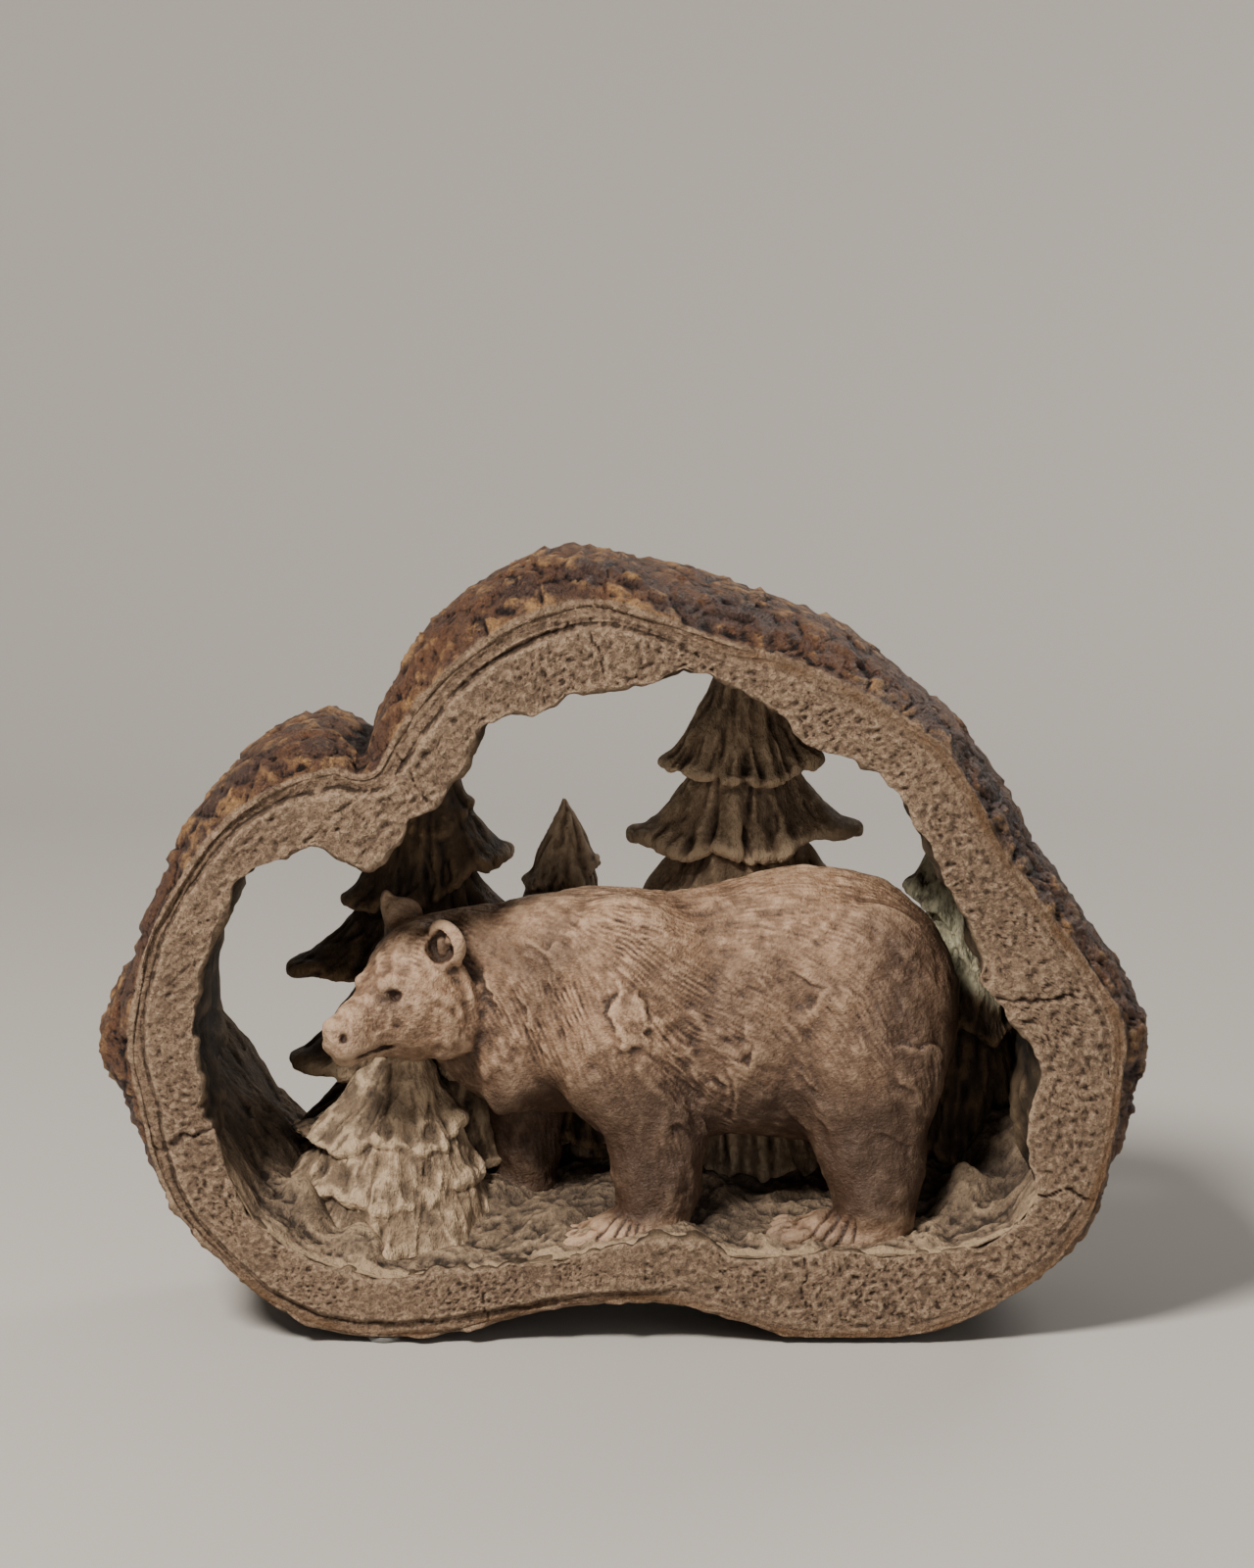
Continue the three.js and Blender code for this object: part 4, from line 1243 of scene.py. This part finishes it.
def tearRelief(points):
    # a torn edge: on one side of a broken line the clay rises towards it, on the other it falls off into
    # a soft crevice. Its height is h exp(-d / 5) on the first side and -0.8 h exp(-d / 2) on the other,
    # and it comes and goes with noise
    relief = np.zeros(len(points))
    side = np.flatnonzero(points[:, 1] < -8)
    near = points[side]
    x = near[:, 0] + 2.4 * noise(near, 6, 161) + 1.2 * noise(near, 2.6, 162)
    z = near[:, 2] + 2.4 * noise(near, 6, 163) + 1.2 * noise(near, 2.6, 164)
    here = smoothStep(-0.5, 0.35, noise(near, 9, 165))
    for high, corners in bear["tears"]:
        best = np.full(len(near), 99.0)
        signed = np.full(len(near), 99.0)
        total = len(corners) - 1
        for i in range(total):
            (ax, az), (bx, bz) = corners[i], corners[i + 1]
            length = math.hypot(bx - ax, bz - az)
            alongX, alongZ = (bx - ax) / length, (bz - az) / length
            t = np.clip((x - ax) * alongX + (z - az) * alongZ, 0, length)
            awayX, awayZ = x - ax - t * alongX, z - az - t * alongZ
            away = np.hypot(awayX, awayZ)
            closer = away < best
            best = np.where(closer, away, best)
            turn = np.sign(awayX * alongZ - awayZ * alongX)
            end = 1 - np.abs((i + t / length) / total * 2 - 1) ** 3
            signed = np.where(closer, away * turn, signed)
            fade = np.where(closer, end, fade) if i else end
        falls = smoothStep(-0.7, 0.9, signed)
        crevice = 0.8 * falls * np.exp(-np.maximum(signed, 0) / 2)
        rise = (1 - falls) * np.exp(np.minimum(signed, 0) / 5) - crevice
        relief[side] += 0.62 * high * fade * (0.25 + 0.75 * here) * rise * (best < 20)
    return relief


def pawRelief(points):
    # narrow grooves that fan out from the ankle between the toes: -h exp(-(sin(k angle) / width)^2)
    x, y, z = points.T
    relief = np.zeros(len(points))
    for ankleX, ankleZ in bear["ankles"]:
        aheadX, aheadZ = ankleX - x, z - ankleZ
        away = np.hypot(aheadX, aheadZ)
        turn = np.arctan2(aheadZ, aheadX)
        groove = np.exp(-((np.sin(13 * turn + 0.8 * noise(points, 6, 171)) / 0.4) ** 2))
        weight = smoothStep(7, 12, away) * smoothStep(30, 25, away) * smoothStep(-1.75, -1.5, turn)
        relief += (0.25 - 0.95 * groove) * weight * smoothStep(-14, -20, y) * smoothStep(46, 40, z)
    return relief


def makeBear(material):
    clay = Clay(bear["low"], bear["high"], bear["voxel"])
    modelBody(clay)
    modelHead(clay)
    points, triangles = clay.surface()
    mesh = makeMesh("walking_bear", points, triangles)
    mesh.validate()
    edges = readEdges(mesh)
    points = relax(points, edges, 1)
    writePoints(mesh, points)
    normals = readNormals(mesh)
    head = np.stack(inHead(list(points.T)), -1)
    onHead = smoothStep(-16, -8, head[:, 0]) * smoothStep(-44, -50, points[:, 0])
    onFace = onHead * smoothStep(2, 10, head[:, 0])
    onLegs = smoothStep(92, 62, points[:, 2])
    onPaws = smoothStep(42, 36, points[:, 2])
    random = np.random.default_rng(11)

    # lumps of muscle, flats left by the knife, tufts and torn edges
    lumps = 0.9 * layeredNoise(points, 20, 141, 2)
    flats = 1 - 2 * np.abs(noise(points + 3 * noise(points, 6, 144)[:, None], (10, 10, 14), 142))
    flats = 0.7 * flats * (0.2 + 0.8 * onLegs)
    height = (lumps + flats) * (1 - 0.75 * onHead) * (1 - 0.7 * onPaws)
    points, normals = pushOut(mesh, points, normals, height)
    starts, way, length, width, height = tuftStrokes(points, normals, random)
    tufts = np.clip(-strokes(points, starts, way, length, width, height), 0, 1.8)
    tufts = 0.8 * tufts * (0.75 + 0.25 * noise(points, 2.4, 148)) * (1 - onFace) * (1 - onPaws)
    torn = tearRelief(points) * (1 - onHead) + pawRelief(points)
    points, normals = pushOut(mesh, points, normals, tufts + torn)

    # combed lines: each comb leaves a few long grooves side by side; soft ridges and grooves lie under them
    picked = random.choice(len(points), bear["combs"], replace=False)
    way = furDirections(points[picked], normals[picked])
    way = alongSurface(way + 0.14 * random.normal(size=way.shape), normals[picked])
    patch = smoothStep(-0.2, 0.4, noise(points[picked], 26, 143))
    calm = (0.3 + 0.7 * patch) * (1 - 0.5 * onFace[picked]) * (1 - 0.7 * onPaws[picked])
    across = np.cross(normals[picked], way)
    teeth = bear["combTeeth"]
    place = bear["toothGap"] * (np.arange(teeth) - (teeth - 1) // 2)
    starts = (points[picked][:, None] + across[:, None] * place[None, :, None]).reshape(-1, 3)
    way = way.repeat(teeth, 0)
    starts = starts + way * random.uniform(-3, 3, (len(starts), 1))
    length = random.uniform(12, 28, len(picked)) * (1 - 0.6 * onHead[picked])
    length = length.repeat(teeth) * random.uniform(0.7, 1.0, len(starts))
    depth = (random.uniform(0.18, 0.46, len(picked)) * calm).repeat(teeth)
    depth = depth * random.uniform(0.5, 1.0, len(starts))
    width = random.uniform(0.45, 0.7, len(starts))
    combed = np.minimum(strokes(points, starts, way, length, width, depth), 0.9)
    picked = random.choice(len(points), bear["softMarks"], replace=False)
    way = furDirections(points[picked], normals[picked])
    way = alongSurface(way + 0.2 * random.normal(size=way.shape), normals[picked])
    depth = random.normal(0.03, 0.16, len(picked)) * (1 - 0.4 * onFace[picked]) * (1 - 0.5 * onPaws[picked])
    length = random.uniform(12, 26, len(picked)) * (1 - 0.5 * onHead[picked])
    width = random.uniform(1.2, 2.4, len(picked))
    soft = strokes(points, points[picked], way, length, width, depth)
    dents = noise(points, 3.0, 145) * smoothStep(-0.3, 0.4, noise(points, 13, 147))
    dents = dents + 0.7 * noise(points, 5, 150)
    creases = 1 - 2 * np.abs(layeredNoise(points, 4.5, 152, 2))
    carved = 0.34 * dents + 0.17 * onHead * (creases - 0.6) - combed - np.clip(soft, -0.7, 0.7)
    pushOut(mesh, points, normals, carved)
    mesh = finishMesh("walking_bear", mesh, bear["mostTriangles"])

    # painted shade, with darker paint: darker on the legs, under the belly and on the far side, on the hind
    # quarter and the lower flank; darker patches of paint on the flank; pale again on the paws
    points = readPoints(mesh)
    x, y, z = points.T
    onBody = 1 - smoothStep(-44, -52, x)
    shade = 0.95 * smoothStep(104, 72, z) * smoothStep(34, 42, z)
    patches = smoothStep(0.0, 0.55, noise(points, 28, 151))
    shade = np.maximum(shade, 0.62 * patches * onBody * smoothStep(138, 122, z))
    shade = np.maximum(shade, 0.8 * smoothStep(60, 94, x) * smoothStep(34, 44, z) * smoothStep(146, 132, z))
    shade = np.maximum(shade, 0.42 * smoothStep(134, 112, z) * smoothStep(0, 36, x))
    shade = np.maximum(shade, 0.95 * smoothStep(-14, 0, y) * smoothStep(120, 100, z))
    head = np.stack(inHead(list(points.T)), -1)
    # dark paint and painted shade about the eyes, nostrils, near ear and mouth
    for place, spread in bear["darkSpots"]:
        shade = np.maximum(shade, 0.9 * np.exp(-(np.linalg.norm(head - place, axis=1) / spread) ** 2))
    putNumbers(mesh, dict(shade=shade))
    addCrests(mesh)
    return addPiece("walking_bear", mesh, material)


pad = dict(radius=5.4, height=2.0, rounding=0.9, dull=0.2, sides=64)


def makePad(node, material):
    # a profile turned about the pad's axis: flat below, a rounded lower edge,
    # straight up, a small bevel and a flat top
    low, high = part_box(node)
    middle = [(low[k] + high[k]) / 2 / mm for k in range(2)]
    radius, height, rounding, dull = (pad[key] for key in ("radius", "height", "rounding", "dull"))
    turn = np.linspace(-math.pi / 2, 0, 7)
    edge = np.stack([radius - rounding + rounding * np.cos(turn), rounding + rounding * np.sin(turn)], -1)
    top = [(radius, height - dull), (radius - dull, height), (radius * 0.5, height)]
    profile = np.concatenate([[(radius * 0.5, 0.0)], edge, top])
    angle = np.linspace(0, 2 * math.pi, pad["sides"], endpoint=False)
    rings = np.stack([middle[0] + profile[:, :1] * np.cos(angle), middle[1] + profile[:, :1] * np.sin(angle),
                      profile[:, 1:] + 0 * angle], -1)
    points, triangles = skin(rings)
    mesh = makeMesh(node + "_clear", points, triangles)
    if readNormals(mesh)[-1, 2] < 0:
        mesh.flip_normals()
    piece = addPiece(node + "_clear", mesh, material)
    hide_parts(node)
    return piece


# two body colours, the dark wash, which is also painted shade in the hollows, and the pale rub; size of the
# patches; from which depth to which the wash and painted shade cover, from which height to which the rub
# does, and how much loose grain breaks them up
paints = dict(
    bear=dict(
        body=(0.300, 0.182, 0.110), second=(0.205, 0.122, 0.075),
        washAndShade=(0.034, 0.018, 0.012), rub=(0.56, 0.385, 0.258),
        patch=26, washedAndShaded=(0.0, 0.5), rubbed=(0.02, 0.45), speck=1.0,
    ),
    ground=dict(
        body=(0.300, 0.212, 0.140), second=(0.190, 0.136, 0.094),
        washAndShade=(0.020, 0.013, 0.009), rub=(0.54, 0.395, 0.255),
        patch=18, washedAndShaded=(0.0, 0.7), rubbed=(0.05, 0.8), speck=1.8,
    ),
    boughs=dict(
        body=(0.085, 0.052, 0.027), second=(0.050, 0.032, 0.020),
        washAndShade=(0.010, 0.006, 0.004), rub=(0.25, 0.160, 0.085),
        patch=26, washedAndShaded=(0.0, 0.8), rubbed=(0.15, 1.2), speck=0.7,
    ),
    # the pale boughs: pale paint, and painted light where the boughs catch the lamp
    paleBoughs=dict(
        body=(0.310, 0.216, 0.138), second=(0.170, 0.119, 0.079),
        washAndShade=(0.016, 0.010, 0.006), rub=(0.62, 0.465, 0.310),
        patch=20, washedAndShaded=(0.1, 1.2), rubbed=(0.05, 0.8), speck=1.6,
    ),
    cut=dict(
        body=(0.425, 0.286, 0.186), second=(0.325, 0.217, 0.142),
        washAndShade=(0.050, 0.028, 0.017), rub=(0.58, 0.415, 0.285),
        patch=30, washedAndShaded=(0.12, 0.62), rubbed=(0.05, 0.5), speck=1.8,
    ),
    hollow=dict(
        body=(0.100, 0.064, 0.036), second=(0.060, 0.040, 0.025),
        washAndShade=(0.012, 0.008, 0.005), rub=(0.26, 0.180, 0.105),
        patch=26, washedAndShaded=(0.0, 0.9), rubbed=(0.1, 1.1), speck=1.0,
    ),
)


tints = dict(
    mottle=(0.085, 0.046, 0.028),
    bearShade=(0.046, 0.024, 0.015),
    groundShade=(0.050, 0.035, 0.025),
    # a painted highlight on the right tree
    paleHighlight=(0.78, 0.74, 0.52),
    pit=(0.070, 0.040, 0.024),
    redBark=(0.185, 0.088, 0.048),
    brownBark=(0.100, 0.058, 0.046),
    barkSpeck=(0.016, 0.011, 0.012),
    ochre=(0.52, 0.300, 0.135),
    furrow=(0.018, 0.011, 0.010),
    lip=(0.210, 0.112, 0.052),
    vinyl=(0.93, 0.94, 0.92),
)


def tint(name):
    return colour(*tints[name])


def paintWashAndShade(wire, kind):
    # the body colour drifts to a second one in patches; dark wash
    # and painted shade lie in the hollows; pale colour rubs the crests
    look = paints[kind]
    patches = grain(wire, look["patch"], 4, 0.6).between(0.38, 0.62)
    speckle = grain(wire, 2.0, 4, 0.75)
    base = patches.mixed(colour(*look["body"]), colour(*look["second"]))
    relief = attribute(wire, "fine") * 1.6 + attribute(wire, "broad") * 0.45
    relief = relief + (speckle - 0.5) * look["speck"]
    base = (relief.between(*look["rubbed"]) * 0.8).mixed(base, colour(*look["rub"]))
    # dark wash and painted shade: the deeper the hollow, the darker
    base = ((0 - relief).between(*look["washedAndShaded"]) * 0.92).mixed(base, colour(*look["washAndShade"]))
    return base, relief, speckle


def bearPaint():
    material, wire = newPaint("bear_paint")
    base, _, speckle = paintWashAndShade(wire, "bear")
    mottle = grain(wire, 5, 5, 0.75).between(0.52, 0.66)
    base = (mottle * 0.5).mixed(base, tint("mottle"))
    # painted shade and darker paint, read from the shade numbers and broken up by noise
    shade = attribute(wire, "shade") + (grain(wire, 14, 4, 0.65) - 0.5) * 0.8
    base = (shade.clamped() * 0.93).mixed(base, tint("bearShade"))
    roughness = 0.54 - speckle * 0.14
    bumps = [(grain(wire, 0.9, 3, 0.6), 0.5), (grain(wire, 2.6, 4, 0.65), 1.1)]
    return finishPaint(material, wire, base, roughness, bumps)


def groundPaint():
    material, wire = newPaint("ground_paint")
    base, _, speckle = paintWashAndShade(wire, "ground")
    # painted shade and darker paint towards the back and under the bear
    shade = (attribute(wire, "shade") + (grain(wire, 12, 4, 0.65) - 0.5) * 0.6).clamped()
    base = (shade * 0.86).mixed(base, tint("groundShade"))
    bumps = [(grain(wire, 1.0, 4, 0.65), 1.2), (grain(wire, 3.5, 4, 0.65), 2.2)]
    return finishPaint(material, wire, base, 0.85 - speckle * 0.1, bumps)


def coniferPaint():
    material, wire = newPaint("conifer_paint")
    dark, _, speckle = paintWashAndShade(wire, "boughs")
    pale, _, _ = paintWashAndShade(wire, "paleBoughs")
    # pale paint and painted light on the low tree, painted light on the tall tree and the sapling
    base = attribute(wire, "pale").clamped().mixed(dark, pale)
    # the painted highlight on the right tree, broken into tufts
    tufts = grain(wire, 6, 4, 0.7, stretch=(1, 1, 2)).between(0.36, 0.56)
    paleHighlightShare = (attribute(wire, "paleHighlight") * tufts).clamped()
    base = paleHighlightShare.mixed(base, tint("paleHighlight"))
    needles = grain(wire, 1.0, 4, 0.65, stretch=(1, 1, 4))
    bumps = [(needles, 1.2), (grain(wire, 3.5, 4, 0.65, stretch=(1, 1, 2)), 2.0)]
    return finishPaint(material, wire, base, 0.55 + speckle * 0.2, bumps)


def logPaint():
    material, wire = newPaint("log_paint")
    cut, relief, speckle = paintWashAndShade(wire, "cut")
    place = wire.make("ShaderNodeTexCoord", output="Object")
    fromBack = wire.make("ShaderNodeSeparateXYZ", {}, {"Vector": place}, output="Y")
    # dark paint and painted shade in the small pits of the cut
    pits = ((0.5 - grain(wire, 1.7, 2, 0.5)).between(0.01, 0.11) * (0 - fromBack * 100)).clamped()
    cut = (pits * 0.4).mixed(cut, tint("pit"))
    height = attribute(wire, "height")
    patches = grain(wire, 24, 4, 0.6).between(0.42, 0.6)
    spots = grain(wire, 9, 5, 0.75).between(0.44, 0.60)
    specks = grain(wire, 3.5, 4, 0.75).between(0.54, 0.66)
    bark = patches.mixed(tint("redBark"), tint("brownBark"))
    bark = (specks * 0.85).clamped().mixed(bark, tint("barkSpeck"))
    ochre = ((height + relief * 1.2 + attribute(wire, "lip") * 1.6).between(0.1, 2.4) * spots).clamped()
    bark = ochre.mixed(bark, tint("ochre"))
    # dark paint and painted shade in the furrows of the bark
    bark = (0 - relief).between(0.1, 1.0).mixed(bark, tint("furrow"))
    inner, _, _ = paintWashAndShade(wire, "hollow")
    base = attribute(wire, "hollow").clamped().mixed(cut, inner)
    lip = (attribute(wire, "lip") * grain(wire, 13, 4, 0.65).between(0.3, 0.6)).clamped()
    base = (lip * 0.85).mixed(base, tint("lip"))
    onBark = (attribute(wire, "bark") + (grain(wire, 6, 3, 0.6) - 0.5) * 0.35).between(0.2, 0.5)
    base = onBark.mixed(base, bark)
    roughness = 0.76 - onBark * 0.34 + (speckle - 0.5) * 0.3
    bumps = [(grain(wire, 0.8, 4, 0.7), 1.4), (grain(wire, 2.0, 4, 0.75), 2.6), (1 - pits, 0.5)]
    return finishPaint(material, wire, base, roughness, bumps)


def clearVinyl():
    material, wire = newPaint("clear_vinyl")
    inputs = {"Base Color": tint("vinyl"), "Roughness": 0.18, "IOR": 1.45}
    inputs["Transmission Weight"] = 0.85
    return finishShader(material, wire, inputs)


def plainPaint(name, baseColour, roughness):
    material, wire = newPaint(name)
    return finishShader(material, wire, {"Base Color": baseColour, "Roughness": roughness})


pieces = [makeLog(logPaint()), makeGround(groundPaint())]
pieces += [makeConifers(coniferPaint()), makeBear(bearPaint())]
for piece in pieces:
    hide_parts(carvingNode)
vinyl = clearVinyl()
for node in sorted(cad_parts):
    if node != carvingNode:
        makePad(node, vinyl)
print("pieces made")

stage = dict(
    floorSize=6.0,
    wallAt=1.6,  # metres behind the ornament
    bend=0.6,
    # lights: place, size in metres, watts, colour
    lights=dict(
        key=((-0.85, -1.1, 1.6), 0.5, 68.0, (1.0, 0.93, 0.84)),
        fill=((1.1, -1.6, 0.5), 1.4, 5.0, (1.0, 0.95, 0.9)),
        back=((0.9, 1.25, 1.15), 0.8, 9.0, (1.0, 0.95, 0.9)),
    ),
    skyStrength=0.10,
    aimAt=(0, 0, 0.1),  # where the lights point
    floorColour=(0.50, 0.485, 0.46),
    floorRoughness=0.7,
    skyColour=(1.0, 0.98, 0.95),
)


def makeSweep():
    # floor, a quarter round and a wall in one sheet: its profile is carried along x
    turn = np.linspace(0, math.pi / 2, 17)
    wallY, bend, half = stage["wallAt"], stage["bend"], stage["floorSize"] / 2
    profile = [(-half, 0.0)]
    profile += [(wallY - bend + bend * math.sin(a), bend - bend * math.cos(a)) for a in turn]
    profile += [(wallY, half)]
    points = np.array([(x, y, z) for y, z in profile for x in (-half, half)]) / mm
    triangles = gridTriangles(len(profile), 2, False, False)
    mesh = makeMesh("studio_sweep", points, triangles)
    sweep = newObject("studio_sweep", mesh)
    mesh.materials.append(plainPaint("pale_sweep", colour(*stage["floorColour"]), stage["floorRoughness"]))


def addLight(name, place, size, power, shine):
    data = bpy.data.lights.new(name, "AREA")
    data.shape = "DISK"
    data.size = size
    data.energy = power
    data.color = shine
    lamp = newObject(name, data)
    lamp.location = place
    lamp.rotation_euler = (Vector(stage["aimAt"]) - lamp.location).to_track_quat("-Z", "Y").to_euler()


def makeSky():
    world = bpy.data.worlds.new("studio")
    bpy.context.scene.world = world
    world.use_nodes = True
    background = world.node_tree.nodes["Background"]
    background.inputs["Color"].default_value = colour(*stage["skyColour"])
    background.inputs["Strength"].default_value = stage["skyStrength"]


makeSweep()
for name, settings in stage["lights"].items():
    addLight(name, *settings)
makeSky()
print("stage and light set")
